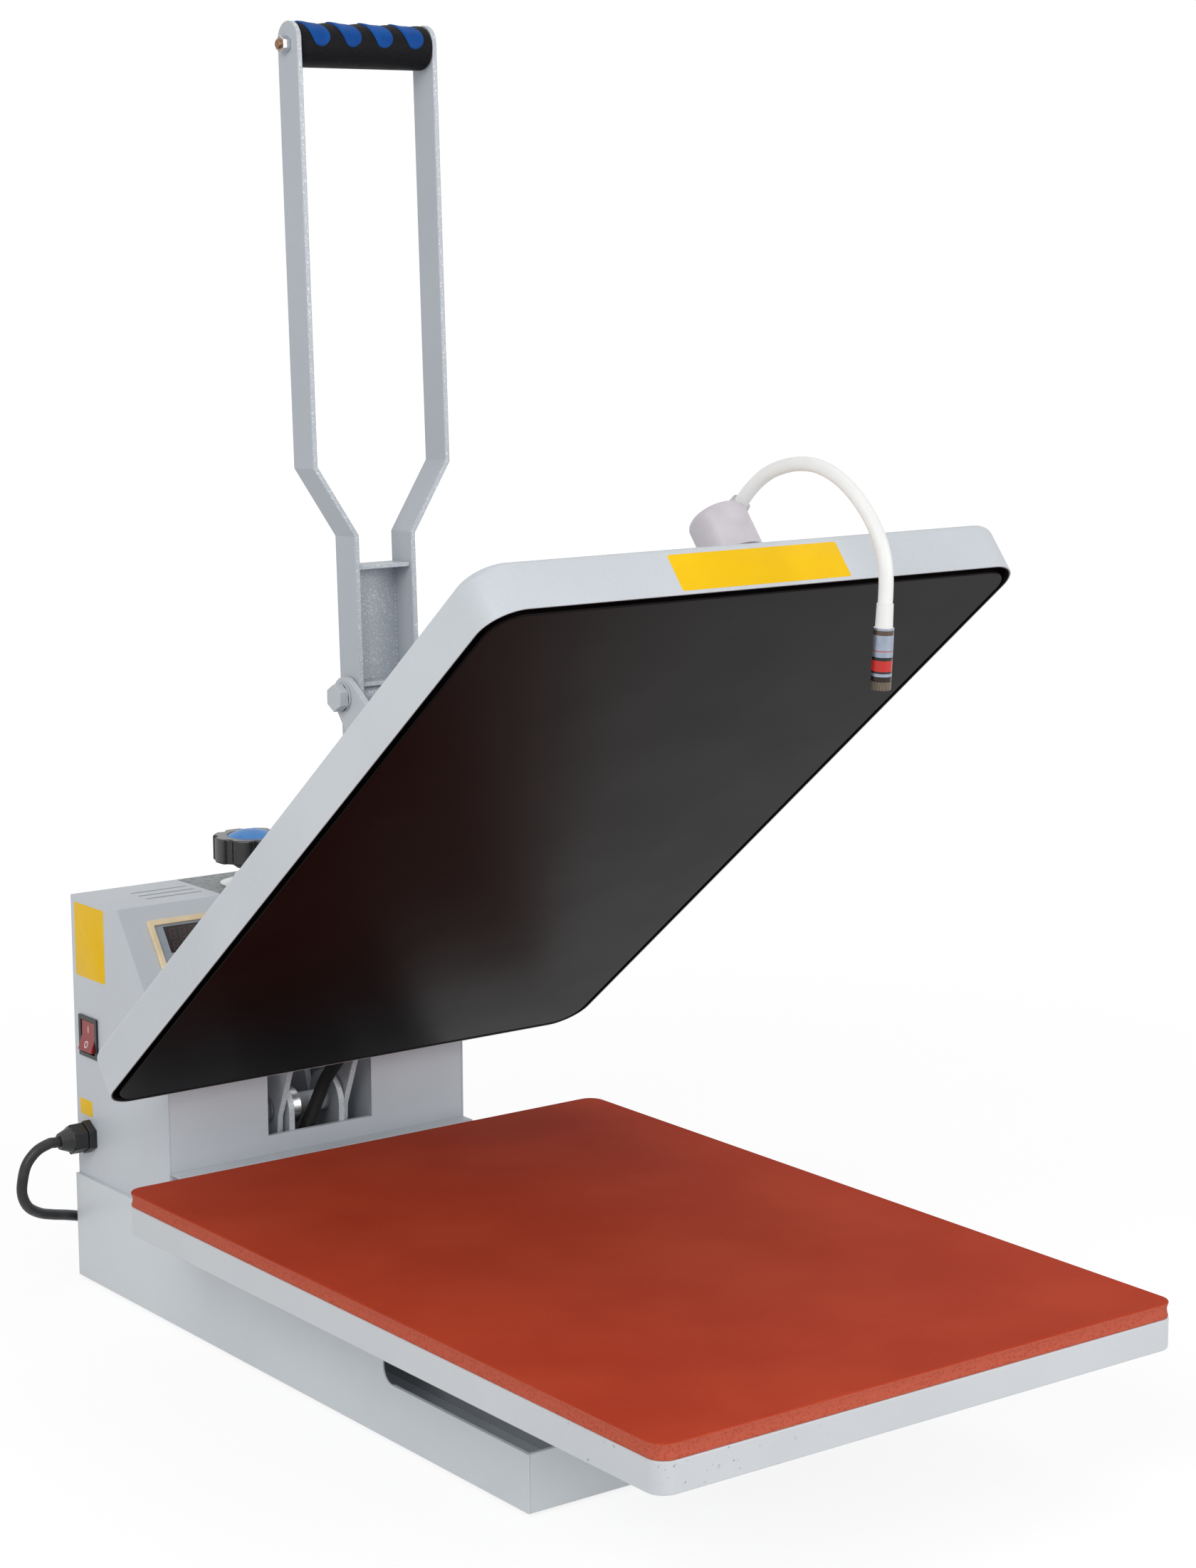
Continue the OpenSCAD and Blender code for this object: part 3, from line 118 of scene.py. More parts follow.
class Finish:
    """A material for one slot of the press, with constants set on its shader's own sockets."""

    def __init__(self, name, **constants):
        self.material = bpy.data.materials.new(name)
        self.material.use_nodes = True
        self.tree = self.material.node_tree
        self.shader = self.tree.nodes["Principled BSDF"]
        for word, value in constants.items():
            self.feed(word, value)

    def join(self, value, socket):
        if isinstance(value, Wire):
            self.tree.links.new(value.socket, socket)
        elif isinstance(value, tuple) and socket.type == "RGBA":
            socket.default_value = (*value, 1)
        else:
            socket.default_value = value

    def feed(self, word, value):
        """Sets or links one of the shader's sockets, such as Base_Color."""
        self.join(value, self.shader.inputs[word.replace("_", " ")])

    def node(self, kind, settings=None, values=None, output=0):
        """A node of one kind: its settings first, then the values or links of its sockets."""
        made = self.tree.nodes.new("ShaderNode" + kind)
        for word, value in (settings or {}).items():
            setattr(made, word, value)
        for word, value in (values or {}).items():
            self.join(value, made.inputs[word])
        return Wire(self, made.outputs[output])

    def place(self, stretch=(1, 1, 1), shift=(0, 0, 0)):
        """Object coordinates, in metres, first moved and then stretched."""
        here = self.node("TexCoord", output="Object")
        if shift != (0, 0, 0):
            here = self.node("VectorMath", {"operation": "ADD"}, {0: here, 1: shift})
        if stretch != (1, 1, 1):
            here = self.node("VectorMath", {"operation": "MULTIPLY"}, {0: here, 1: stretch})
        return here

    def axis(self, index, here=None):
        """One of three coordinates, of Object coordinates where here is left out."""
        return self.node("SeparateXYZ", None, {0: here or self.place()}, index)

    def along(self, direction, start):
        """Distance from start along a unit direction, in metres."""
        offset = -sum(a * b for a, b in zip(direction, start))
        dot = {"operation": "DOT_PRODUCT"}
        return self.node("VectorMath", dot, {0: self.place(), 1: direction}, "Value") + offset

    def noise(self, scale, detail=2, rough=0.5, where=None):
        values = {"Vector": where or self.place(), "Scale": scale, "Detail": detail, "Roughness": rough}
        return self.node("TexNoise", None, values)

    def cells(self, scale, feature="F1"):
        """Distance from the middle of the nearest cell, in cells."""
        values = {"Vector": self.place(), "Scale": scale}
        return self.node("TexVoronoi", {"feature": feature}, values, "Distance")

    def mix(self, share, one, other):
        """one where share is 0 and other where it is 1; both are colours."""
        return self.node("Mix", {"data_type": "RGBA"}, {0: share, 6: one, 7: other}, 2)

    def bump(self, height, depth):
        """Feeds the shader's Normal with height from 0 to 1 over depth metres."""
        values = {"Height": height, "Distance": depth, "Strength": 1.0}
        self.feed("Normal", self.node("Bump", None, values))

    def on(self, *names):
        """Gives this finish to CAD nodes, in their own material slots."""
        for name in names:
            for place in frame["nodes"][name].material_slots:
                place.material = self.material


def paint_rgb(red, green, blue):
    """A colour as it looks, from 0 to 255, turned into the shader's linear light."""
    shares = [v / 255 for v in (red, green, blue)]
    return tuple(v / 12.92 if v < 0.04045 else ((v + 0.055) / 1.055) ** 2.4 for v in shares)


room = bpy.data.worlds.new("room")
bpy.context.scene.world = room
room.use_nodes = True
ROOM_LIGHT = 0.36
room_tree = room.node_tree
room_tree.nodes.clear()
rays = room_tree.nodes.new("ShaderNodeLightPath")
seen = room_tree.nodes.new("ShaderNodeMath")
seen.operation = "ADD"
room_tree.links.new(rays.outputs["Is Camera Ray"], seen.inputs[0])
room_tree.links.new(rays.outputs["Is Transmission Ray"], seen.inputs[1])
shown = room_tree.nodes.new("ShaderNodeMath")
shown.operation = "ADD"
shown.use_clamp = True
room_tree.links.new(seen.outputs[0], shown.inputs[0])
room_tree.links.new(rays.outputs["Is Glossy Ray"], shown.inputs[1])
level = room_tree.nodes.new("ShaderNodeMapRange")
level.inputs["To Min"].default_value = ROOM_LIGHT
level.inputs["To Max"].default_value = 1.0
room_tree.links.new(shown.outputs[0], level.inputs["Value"])
glow = room_tree.nodes.new("ShaderNodeBackground")
glow.inputs["Color"].default_value = (1, 1, 1, 1)
room_tree.links.new(level.outputs[0], glow.inputs["Strength"])
room_out = room_tree.nodes.new("ShaderNodeOutputWorld")
room_tree.links.new(glow.outputs[0], room_out.inputs["Surface"])

FLOOR_HALF = 12
FLOOR_BELOW = 0.0005
FLOOR_GLOW = 0.78
FLOOR_WHITE = 1.08
FADE_START = 0.8
FADE_END = 2.6
floor_mesh = bpy.data.meshes.new("floor")
floor_mesh.from_pydata(
    [(x * FLOOR_HALF, y * FLOOR_HALF, -FLOOR_BELOW) for x, y in ((-1, -1), (1, -1), (1, 1), (-1, 1))],
    [],
    [(0, 1, 2, 3)],
)
floor = bpy.data.objects.new("floor", floor_mesh)
bpy.context.scene.collection.objects.link(floor)
table_top = Finish("table_top", Roughness=0.9, Specular_IOR_Level=0.1)
table_top.feed("Base_Color", (0.93, 0.93, 0.93))
far = table_top.node("VectorMath", {"operation": "LENGTH"}, {0: table_top.place()}, "Value")
veil = far.ramp(FADE_START, FADE_END) * (1 - FLOOR_GLOW) + FLOOR_GLOW
white = table_top.node("Emission", None, {"Color": (1, 1, 1), "Strength": FLOOR_WHITE})
to_camera = table_top.node("LightPath", output="Is Camera Ray")
to_mirror = table_top.node("LightPath", output="Is Glossy Ray")
to_glass = table_top.node("LightPath", output="Is Transmission Ray")
looked_at = (to_camera + to_mirror + to_glass).maths("MINIMUM", 1)
faded = table_top.node("MixShader", None, {0: looked_at * veil})
table_top.tree.links.new(table_top.shader.outputs[0], faded.socket.node.inputs[1])
table_top.tree.links.new(white.socket, faded.socket.node.inputs[2])
table_top.tree.links.new(faded.socket, table_top.tree.nodes["Material Output"].inputs["Surface"])
floor_mesh.materials.append(table_top.material)

# Mains lead: three cores in a round black rubber sheath, 8 mm thick. It leaves the gland,
# drops round the column's back corner and lies behind it, wound up in two layers on the floor.
MM = 0.001
LEAD_D = 8.0
LEAD_SIDES = 14
lead_start = np.array([-153.2, 383.0, 113.0])
lead_route = np.array([
    [0, 0, 0], [-4, 0, 0], [-8, 0, 0], [-18, 0.5, -4], [-26, 1.5, -13], [-29, 3, -25], [-28, 6.5, -37],
    [-21.5, 11, -48.5], [-10, 16, -56.5], [3, 21, -61.5], [17, 25, -65.5], [31, 28, -70],
    [44, 31, -76.5], [56, 35, -84], [67, 40, -92], [77, 46, -99.5], [85, 53, -105],
    [91, 61, -108.3], [94, 69, -109], [94, 77, -109],
]) + lead_start
COIL_LAPS = 5.25
LAP_STEPS = 48
COIL_STEP = LEAD_D + 0.6
COIL_INNER = 34.0
COIL_OUTER = COIL_INNER + COIL_STEP * COIL_LAPS / 2
LEAD_TAIL = 4.3 * LEAD_D


def flowing(points, steps):
    """A cubic through each point, steps to a stretch, whose slope at a point is half the way
    from the point before it to the point after it."""
    p = np.vstack([points[:1], points, points[-1:]])
    t = (np.arange(steps) / steps)[None, :, None]
    a, b, c, d = (p[k : len(p) - 3 + k, None, :] for k in range(4))
    run = 2 * b + (c - a) * t + (2 * a - 5 * b + 4 * c - d) * t**2
    run = 0.5 * (run + (3 * b - a - 3 * c + d) * t**3)
    return np.vstack([run.reshape(-1, 3), points[-1:]])


def tube(path, radius, sides, first=(0, 0, 1)):
    """Rings round a path: each ring's own up is the last one's, squared to the path's slope.
    The radius is one number or one for each point. Returns rings as rows of points."""
    slope = np.gradient(path, axis=0)
    slope /= np.linalg.norm(slope, axis=1, keepdims=True)
    up = np.empty_like(path)
    now = np.array(first, float)
    for k, s in enumerate(slope):
        now = now - (now @ s) * s
        now /= np.linalg.norm(now)
        up[k] = now
    side = np.cross(slope, up)
    turn = np.linspace(0, 2 * math.pi, sides, endpoint=False)[None, :, None]
    reach = np.broadcast_to(np.asarray(radius, float), (len(path),))[:, None, None]
    round_path = np.cos(turn) * up[:, None, :] + np.sin(turn) * side[:, None, :]
    return path[:, None, :] + reach * round_path


def piece(name, points, faces, finish, body, slot, crease=40):
    """A new piece in millimetres on a CAD body, smooth except along edges sharper than crease."""
    mesh = bpy.data.meshes.new(name)
    mesh.from_pydata(np.asarray(points, float) * MM, [], [list(map(int, f)) for f in faces])
    mesh.shade_smooth()
    mesh.set_sharp_from_angle(angle=math.radians(crease))
    mesh.materials.append(finish.material)
    made = bpy.data.objects.new(name, mesh)
    bpy.context.scene.collection.objects.link(made)
    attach(made, body)
    return made


def shell(rings, closed=False):
    """Points and faces of rows of rings, with a flat end on the first and last ring. Faces are
    turned outwards by the sign of the volume that they hold; closed joins the last row to the
    first."""
    rows, count, _ = rings.shape
    grid = np.arange(rows * count).reshape(rows, count)
    below = grid if closed else grid[:-1]
    above = np.roll(grid, -1, axis=0) if closed else grid[1:]
    quads = np.stack([below, np.roll(below, -1, axis=1), np.roll(above, -1, axis=1), above], axis=-1)
    faces = quads.reshape(-1, 4).tolist()
    if not closed:
        faces += [grid[0][::-1].tolist(), grid[-1].tolist()]
    points = rings.reshape(-1, 3)
    middle = points.mean(axis=0)
    corner = points[quads.reshape(-1, 4)] - middle
    spread = np.cross(corner[:, 1], corner[:, 2]) + np.cross(corner[:, 2], corner[:, 3])
    held = np.einsum("ij,ij->i", corner[:, 0], spread)
    if not closed:
        for end, sign in ((grid[0], -1), (grid[-1], 1)):
            rim = points[end] - middle
            hub = rim.mean(axis=0)
            held = np.append(held, sign * np.sum(np.cross(rim, np.roll(rim, -1, axis=0)) @ hub))
    if held.sum() < 0:
        faces = [f[::-1] for f in faces]
    return points, faces


lead_end = lead_route[-1]
coil_middle = lead_end + [COIL_OUTER, LEAD_D, -lead_end[2]]
lap = np.linspace(0, 1, int(LAP_STEPS * COIL_LAPS) + 1)[1:]
swap = 0.5 / COIL_LAPS
inward = np.abs(lap - 0.5)
inward = np.where(inward < swap / 2, inward**2 / swap + swap / 4, inward)
coil_radius = COIL_INNER + COIL_STEP * COIL_LAPS * inward
climb = np.clip((lap - 0.5) / swap + 0.5, 0, 1)
coil_height = LEAD_D / 2 + COIL_STEP * climb**2 * (3 - 2 * climb)
coil_turn = np.radians(180 - 360 * COIL_LAPS * lap)
coil_x = coil_radius * np.cos(coil_turn)
coil_y = coil_radius * np.sin(coil_turn)
coil = np.stack([coil_x, coil_y, coil_height], axis=-1) + coil_middle
lead_tip = coil_middle + [LEAD_TAIL, COIL_OUTER, LEAD_D / 2 + COIL_STEP]
tail = lead_tip - np.outer([3, 2, 1, 0], [LEAD_D, 0, 0])
lead_path = np.vstack([flowing(lead_route, 6), lead_end + [0, 0.6 * LEAD_D, 0], coil, tail])
sheath = Finish("sheath_rubber", Specular_IOR_Level=0.45)
scuff = sheath.noise(60, 3).ramp(0.45, 0.75)
sheath.feed("Base_Color", sheath.mix(scuff, paint_rgb(24, 24, 26), paint_rgb(44, 43, 45)))
sheath.feed("Roughness", sheath.noise(240) * 0.2 + 0.34)
sheath.bump(sheath.noise(900, 2), 0.0001)
lead_rings = tube(lead_path, LEAD_D / 2, LEAD_SIDES)
lead = piece("mains_lead", *shell(lead_rings), sheath, "frame", "cord_rubber")
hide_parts("power_cord", "cord_coil")

# Plug: a moulded rubber body with a tapered neck and two flat blades over a round earth pin.
# It is moulded straight onto the lead and lies beside the coil, which a nylon tie holds together.
body_of_node = {}
for body, names in frame["record"]["behaviour"]["bodies"].items():
    body_of_node.update(dict.fromkeys(names, body))
MERGE = 2e-6
FLAT_DEGREES = 0.5


def softened(node, finish, width=0.5, crease=30):
    """A copy of a CAD node with its triangles merged and its edges sharper than crease degrees
    rounded over width millimetres; 0 leaves them sharp. It stands in the node's place."""
    work = bmesh.new()
    work.from_mesh(frame["nodes"][node].data)
    bmesh.ops.remove_doubles(work, verts=work.verts, dist=MERGE)
    if width:
        flat_angle = math.radians(FLAT_DEGREES)
        bmesh.ops.dissolve_limit(work, angle_limit=flat_angle, verts=work.verts, edges=work.edges)
    mesh = bpy.data.meshes.new(node + "_made")
    work.to_mesh(mesh)
    work.free()
    if mesh.attributes.get("custom_normal"):
        mesh.attributes.remove(mesh.attributes["custom_normal"])
    mesh.shade_smooth()
    mesh.materials.clear()
    mesh.materials.append(finish.material)
    made = bpy.data.objects.new(node + "_made", mesh)
    bpy.context.scene.collection.objects.link(made)
    if width:
        rounding = made.modifiers.new("rounding", "BEVEL")
        rounding.width = width * MM
        rounding.segments = 2
        rounding.limit_method = "ANGLE"
        rounding.angle_limit = math.radians(crease)
        rounding.use_clamp_overlap = False
        rounding.harden_normals = True
    else:
        mesh.set_sharp_from_angle(angle=math.radians(crease))
    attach(made, body_of_node[node])
    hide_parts(node)
    return made


PLUG_BODY_L = 52
BLADE_EDGE = 0.1
blade_x = lead_tip[0] + PLUG_BODY_L
plug_rubber = Finish("plug_rubber", Specular_IOR_Level=0.45)
blade = plug_rubber.axis(0).ramp((blade_x - BLADE_EDGE) * MM, (blade_x + BLADE_EDGE) * MM)
plug_rubber.feed("Base_Color", plug_rubber.mix(blade, paint_rgb(27, 27, 29), paint_rgb(214, 196, 150)))
plug_rubber.feed("Metallic", blade)
plug_rubber.feed("Roughness", plug_rubber.noise(300) * 0.15 + 0.4 - blade * 0.2)
plug_rubber.bump(plug_rubber.noise(1500, 2), 0.00004)
plug = softened("plug", plug_rubber, 0.5)

TIE_T = 0.8
TIE_HALF_W = 1.8
TIE_SLACK = 5
TIE_HALF_H = 8.6
TIE_CORNER = 4.5
TIE_MID_Z = 9.0
TIE_BEARING = 62
TIE_OFF_FLOOR = 0.02
tie_nylon = Finish("tie_nylon", Base_Color=paint_rgb(30, 30, 31), Specular_IOR_Level=0.5)
tie_nylon.feed("Roughness", tie_nylon.noise(500) * 0.2 + 0.3)
tie_nylon.bump(tie_nylon.axis(2).maths("MULTIPLY", 9000).maths("SINE") * 0.5 + 0.5, 0.00005)


def rounded_outline(half_u, half_v, radius, arc=6, run=8):
    """Points round a rectangle with round corners: a quarter circle of arc steps at each corner
    and run equal steps on each side."""
    quarter = np.linspace(0, math.pi / 2, arc + 1)
    corners = []
    for turn, (side_u, side_v) in enumerate(((1, 1), (-1, 1), (-1, -1), (1, -1))):
        angle = quarter + turn * math.pi / 2
        hub = np.array([side_u * (half_u - radius), side_v * (half_v - radius)])
        corners.append(hub + radius * np.stack([np.cos(angle), np.sin(angle)], axis=-1))
    share = (np.arange(1, run) / run)[:, None]
    parts = []
    for turn in range(4):
        here = corners[turn]
        after = corners[(turn + 1) % 4]
        parts += [here, here[-1] * (1 - share) + after[0] * share]
    return np.vstack(parts)


tie_loop = rounded_outline((COIL_OUTER - COIL_INNER) / 2 + TIE_SLACK, TIE_HALF_H, TIE_CORNER)
tie_ways = math.radians(TIE_BEARING)
tie_out = np.array([math.cos(tie_ways), math.sin(tie_ways), 0])
tie_along = np.array([-math.sin(tie_ways), math.cos(tie_ways), 0])
tie_hub = coil_middle + tie_out * (COIL_OUTER + COIL_INNER) / 2 + [0, 0, TIE_MID_Z]
tie_rows = []
for grow, side in ((0, -1), (0, 1), (TIE_T, 1), (TIE_T, -1)):
    loop = tie_loop * (1 + grow / np.linalg.norm(tie_loop, axis=1, keepdims=True))
    loop[:, 1] = np.maximum(loop[:, 1], -TIE_MID_Z + TIE_OFF_FLOOR)
    band_line = tie_hub + loop[:, :1] * tie_out + loop[:, 1:] * [0, 0, 1]
    tie_rows.append(band_line + side * TIE_HALF_W * tie_along)
tie_points, tie_faces = shell(np.stack(tie_rows), closed=True)
tie = piece("lead_tie", tie_points, tie_faces, tie_nylon, "frame", "cord_rubber")

# Base tray: 1.5 mm steel sheet folded up at both sides and the back, powder coated pale grey.
# Its low front wall is a strip of its own, welded between the cut-down sides, with a hem.


def powder_coat(name, colour, grain=0.00004):
    """Baked powder paint: satin, with a fine orange peel and faint clouds in its shade."""
    coat = Finish(name, Specular_IOR_Level=0.45)
    dull = tuple(c * 0.95 for c in colour)
    bright = tuple(min(1.0, c * 1.1) for c in colour)
    tone = coat.mix(coat.noise(8, 3).ramp(0.3, 0.7), dull, colour)
    speck = coat.noise(1700, 1).ramp(0.62, 0.76) * 0.6
    coat.feed("Base_Color", coat.mix(speck, tone, bright))
    coat.feed("Roughness", coat.noise(420, 2) * 0.16 + 0.36)
    coat.bump(coat.noise(1500, 2), grain)
    return coat


base_coat = powder_coat("base_paint", paint_rgb(211, 216, 220))
softened("base_tray", base_coat, 0.5)
softened("base_front_panel", base_coat, 0.5)

# Feet, rails and fasteners: black rubber feet screwed under the tray, two folded steel rails that
# carry the platen, and zinc plated screws and bolts.
foot_rubber = Finish("foot_rubber", Specular_IOR_Level=0.3)
foot_tone = foot_rubber.mix(foot_rubber.noise(90, 3), paint_rgb(26, 26, 27), paint_rgb(44, 43, 43))
foot_rubber.feed("Base_Color", foot_tone)
foot_rubber.feed("Roughness", foot_rubber.noise(400) * 0.2 + 0.6)
foot_rubber.bump(foot_rubber.noise(1300), 0.00008)
foot_rubber.on("rubber_feet")
rail_coat = powder_coat("rail_paint", paint_rgb(176, 181, 185))
rail_coat.on("support_rails")


def plated_steel(name, colour, rough=0.34, stretch=(1, 1, 1)):
    """Zinc plated or ground steel, a little uneven in tone, with fine marks along one way."""
    metal = Finish(name, Metallic=1.0)
    dim = tuple(c * 0.72 for c in colour)
    metal.feed("Base_Color", metal.mix(metal.noise(140, 3).ramp(0.35, 0.7), dim, colour))
    marks = metal.noise(700, 3, 0.6, metal.place(stretch))
    metal.feed("Roughness", marks * 0.22 + rough - 0.1)
    metal.bump(marks, 0.00003)
    return metal


zinc = plated_steel("zinc_bolts", paint_rgb(205, 205, 206))
zinc.on("base_bolts", "frame_bolts", "cover_screws", "plate_standoffs")

# Lower platen: cast aluminium, 400 x 600 x 20 mm, sprayed pale grey with a heavy orange peel.
# It is bolted to the rails from below, and its paint is chipped near the front corner.
enamel = Finish("platen_enamel", Specular_IOR_Level=0.5)
enamel_tone = enamel.mix(enamel.noise(14, 3), paint_rgb(193, 197, 201), paint_rgb(204, 207, 211))
CHIPPED_CORNER = (-0.19, -0.4, 0.11)
CHIPS_REACH = 0.13
apart = {"operation": "DISTANCE"}
from_corner = enamel.node("VectorMath", apart, {0: enamel.place(), 1: CHIPPED_CORNER}, "Value")
near_corner = from_corner.ramp(CHIPS_REACH, 0.01)
chips = enamel.noise(260, 3, 0.7).ramp(0.66, 0.7) * near_corner
enamel.feed("Base_Color", enamel.mix(chips, enamel_tone, paint_rgb(116, 112, 106)))
enamel.feed("Roughness", enamel.noise(300, 2) * 0.14 + 0.34 + chips * 0.2)
enamel.bump(enamel.noise(420, 2) - chips * 1.5, 0.00018)
softened("lower_platen", enamel, 1.2)

# Sponge pad: a 10 mm sheet of terracotta silicone sponge, cut to the platen and laid on it. Its
# cut edge is a little hollow and open pored, and its top is skinned and gently uneven.
PAD_HALF_W = 200.0
PAD_HALF_D = 300.0
PAD_MID_Y = -105.0
PAD_UNDER = 120.0
PAD_T = 10.0
PAD_CORNER = 12
PAD_RIM = 2
SWELL = 0.18
SWELL_SUNK = 0.2
edge_inset = [0.7, 0.3, 0.9, 1.2, 1.0, 0.4, 0.2, 0.5, 1.2]
edge_lift = [0.02, 0.8, 2.6, 4.6, 6.6, 8.3, 9.1, 9.7, 9.95]
top_inset = [3, 8, 18, 32, 50, 70, 90, 110, 130, 150, 170, 186]
pad_inset = np.array(edge_inset + top_inset)
pad_lift = np.array(edge_lift + [PAD_T] * len(top_inset))
pad_rows = []
for inset, lift in zip(pad_inset, pad_lift):
    corner = max(PAD_CORNER - inset, 1)
    flat = rounded_outline(PAD_HALF_W - inset, PAD_HALF_D - inset, corner, 8, 24)
    swell = SWELL * np.sin(flat[:, 0] / 27 + 0.6) * np.sin(flat[:, 1] / 41) - SWELL_SUNK
    height = PAD_UNDER + lift + swell * (inset > PAD_RIM)
    pad_rows.append(np.column_stack([flat[:, 0], flat[:, 1] + PAD_MID_Y, height]))
sponge = Finish("sponge_silicone", Specular_IOR_Level=0.07)
flank = sponge.axis(2, sponge.node("TexCoord", output="Normal")).maths("ABSOLUTE").ramp(0.75, 0.35)
sponge_cloud = sponge.noise(11, 4).ramp(0.3, 0.7)
sponge_tone = sponge.mix(sponge_cloud, paint_rgb(182, 63, 39), paint_rgb(192, 71, 45))
sponge_dust = sponge.noise(900, 1).ramp(0.7, 0.78) * 0.35
sponge_face = sponge.mix(sponge_dust, sponge_tone, paint_rgb(196, 120, 104))
pores = sponge.cells(520).ramp(0.18, 0.42)
cut_share = flank * (pores * 0.4 + 0.5)
sponge.feed("Base_Color", sponge.mix(cut_share, sponge_face, paint_rgb(186, 92, 72)))
sponge.feed("Roughness", sponge.noise(200) * 0.12 + 0.62)
sponge.bump(sponge.noise(1500, 2) * 0.25 + pores * flank, 0.0003)
pad = piece("sponge_pad", *shell(np.stack(pad_rows)), sponge, "frame", "sponge_silicone", 60)
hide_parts("silicone_pad")

# Column frame: laser-cut steel plates on a floor plate, a hinge shaft through them and a bridge
# bolted between their heads. The plates are powder coated, the pins are ground.


def cut_plate_coat(name, colour):
    """Powder paint over laser-cut plate: smooth on the faces that look along X, and rough on the
    cut edges, which look across it, where a paler tone and bright glints are painted highlight."""
    coat = Finish(name, Specular_IOR_Level=0.5)
    facing = coat.axis(0, coat.node("TexCoord", output="Normal")).maths("ABSOLUTE")
    edge = facing.ramp(0.45, 0.2)
    dull = tuple(c * 0.95 for c in colour)
    pale = tuple(min(1.0, c * 1.12) for c in colour)
    # Painted highlight: glint spots on the cut edges, painted near white and made glossier.
    painted_glint = coat.noise(750, 3, 0.65).ramp(0.52, 0.68) * edge
    tone = coat.mix(coat.noise(9, 3).ramp(0.3, 0.7), dull, colour)
    # Painted highlight: the cut edges are painted paler than the faces.
    tone = coat.mix(edge * 0.55, tone, pale)
    coat.feed("Base_Color", coat.mix(painted_glint * 0.75, tone, (0.88, 0.89, 0.9)))
    coat.feed("Roughness", 0.44 - painted_glint * 0.22)
    coat.bump(coat.noise(1500, 2) * 0.16 + coat.noise(620, 2) * edge, 0.00025)
    return coat


frame_coat = cut_plate_coat("frame_paint", paint_rgb(186, 191, 196))
softened("upright_left", frame_coat, 0.4)
softened("upright_right", frame_coat, 0.4)
softened("toggle_link", frame_coat, 0.4)
frame_coat.on("frame_foot")
shaft_coat = powder_coat("shaft_paint", paint_rgb(178, 183, 188))
softened("hinge_shaft", shaft_coat, 0.8)
collar_steel = plated_steel("zinc_steel", paint_rgb(196, 197, 199))
collar_steel.on("pressure_bridge", "shaft_collars", "adjuster_block")
ground = plated_steel("ground_steel", paint_rgb(214, 214, 215), 0.26, (1, 1, 8))
ground.on("toggle_pin", "pressure_spindle")

# Column covers: two folded sheet covers with vents, a front panel with the arms' opening, a
# ledge strip along its foot and a rear cover, all powder coated like the base.
cover_coat = powder_coat("cover_paint", paint_rgb(198, 203, 209))
for node in ("front_panel", "cover_left", "cover_right", "rear_cover"):
    softened(node, cover_coat, 0.45)
softened("front_ledge", cover_coat, 0.9)

# Top plate and boss: a dark hammertone steel plate between the two covers, and the turned
# aluminium boss that guides the spindle.
hammertone = Finish("dark_hammertone", Specular_IOR_Level=0.5)
beaten = hammertone.cells(260, "SMOOTH_F1")
beaten_tone = hammertone.mix(beaten.ramp(0.1, 0.6), paint_rgb(84, 90, 93), paint_rgb(120, 127, 130))
hammertone.feed("Base_Color", beaten_tone)
hammertone.feed("Roughness", hammertone.noise(150) * 0.15 + 0.32)
hammertone.bump(1 - beaten, 0.0005)
softened("top_plate", hammertone, 0.5)
SPINDLE_Y = 0.354
LATHE_RATE = 12000
turned = Finish("turned_boss", Metallic=1.0)
turned_place = turned.place((1, 1, 0), (0, -SPINDLE_Y, 0))
turned_r = turned.node("VectorMath", {"operation": "LENGTH"}, {0: turned_place}, "Value")
lathe = turned_r.maths("MULTIPLY", LATHE_RATE).maths("SINE")
turned_tone = turned.mix(turned.noise(90, 3), paint_rgb(188, 190, 192), paint_rgb(222, 223, 224))
turned.feed("Base_Color", turned_tone)
turned.feed("Roughness", lathe * 0.05 + 0.32)
turned.bump(lathe * 0.5 + 0.5, 0.00002)
softened("knob_boss", turned, 0)

# Temperature controller: a cream bezel with a grey printed face, a smoked window over two rows of
# unlit digits and three keys, on a circuit board that is held behind the sloping sheet.
SLOPE = math.radians(54.85)
SLOPE_TOP = np.array([0, 331.0, 293.6])
slope_up = np.array([0, math.cos(SLOPE), math.sin(SLOPE)])
slope_out = np.array([0, -math.sin(SLOPE), math.cos(SLOPE)])


def moulded(name, low, high, rough, grain=0.00004, spec=0.5):
    """Moulded plastic: two near shades in soft patches, a fine etched grain, even gloss."""
    plastic = Finish(name, Specular_IOR_Level=spec)
    plastic.feed("Base_Color", plastic.mix(plastic.noise(60, 3).ramp(0.3, 0.7), low, high))
    plastic.feed("Roughness", plastic.noise(350, 2) * 0.12 + rough - 0.06)
    plastic.bump(plastic.noise(1600, 2), grain)
    return plastic


bezel_cream = moulded("cream_plastic", paint_rgb(226, 203, 166), paint_rgb(238, 216, 180), 0.45)
softened("controller_bezel", bezel_cream, 0.7)
panel_film = moulded("grey_panel", paint_rgb(140, 148, 157), paint_rgb(150, 158, 167), 0.4)
panel_film.on("controller_face")
smoked = moulded("display_lens", paint_rgb(24, 17, 19), paint_rgb(31, 22, 24), 0.16, 0.000005)
smoked.on("display_window")
moulded("board_green", paint_rgb(28, 78, 44), paint_rgb(46, 104, 60), 0.4).on("control_board")
moulded("relay_plastic", paint_rgb(40, 42, 46), paint_rgb(52, 54, 58), 0.45).on("power_relay")
key_white = moulded("key_plastic", paint_rgb(196, 197, 196), paint_rgb(210, 210, 208), 0.38)
for node in ("button_menu", "button_up", "button_down"):
    softened(node, key_white, 0.6)

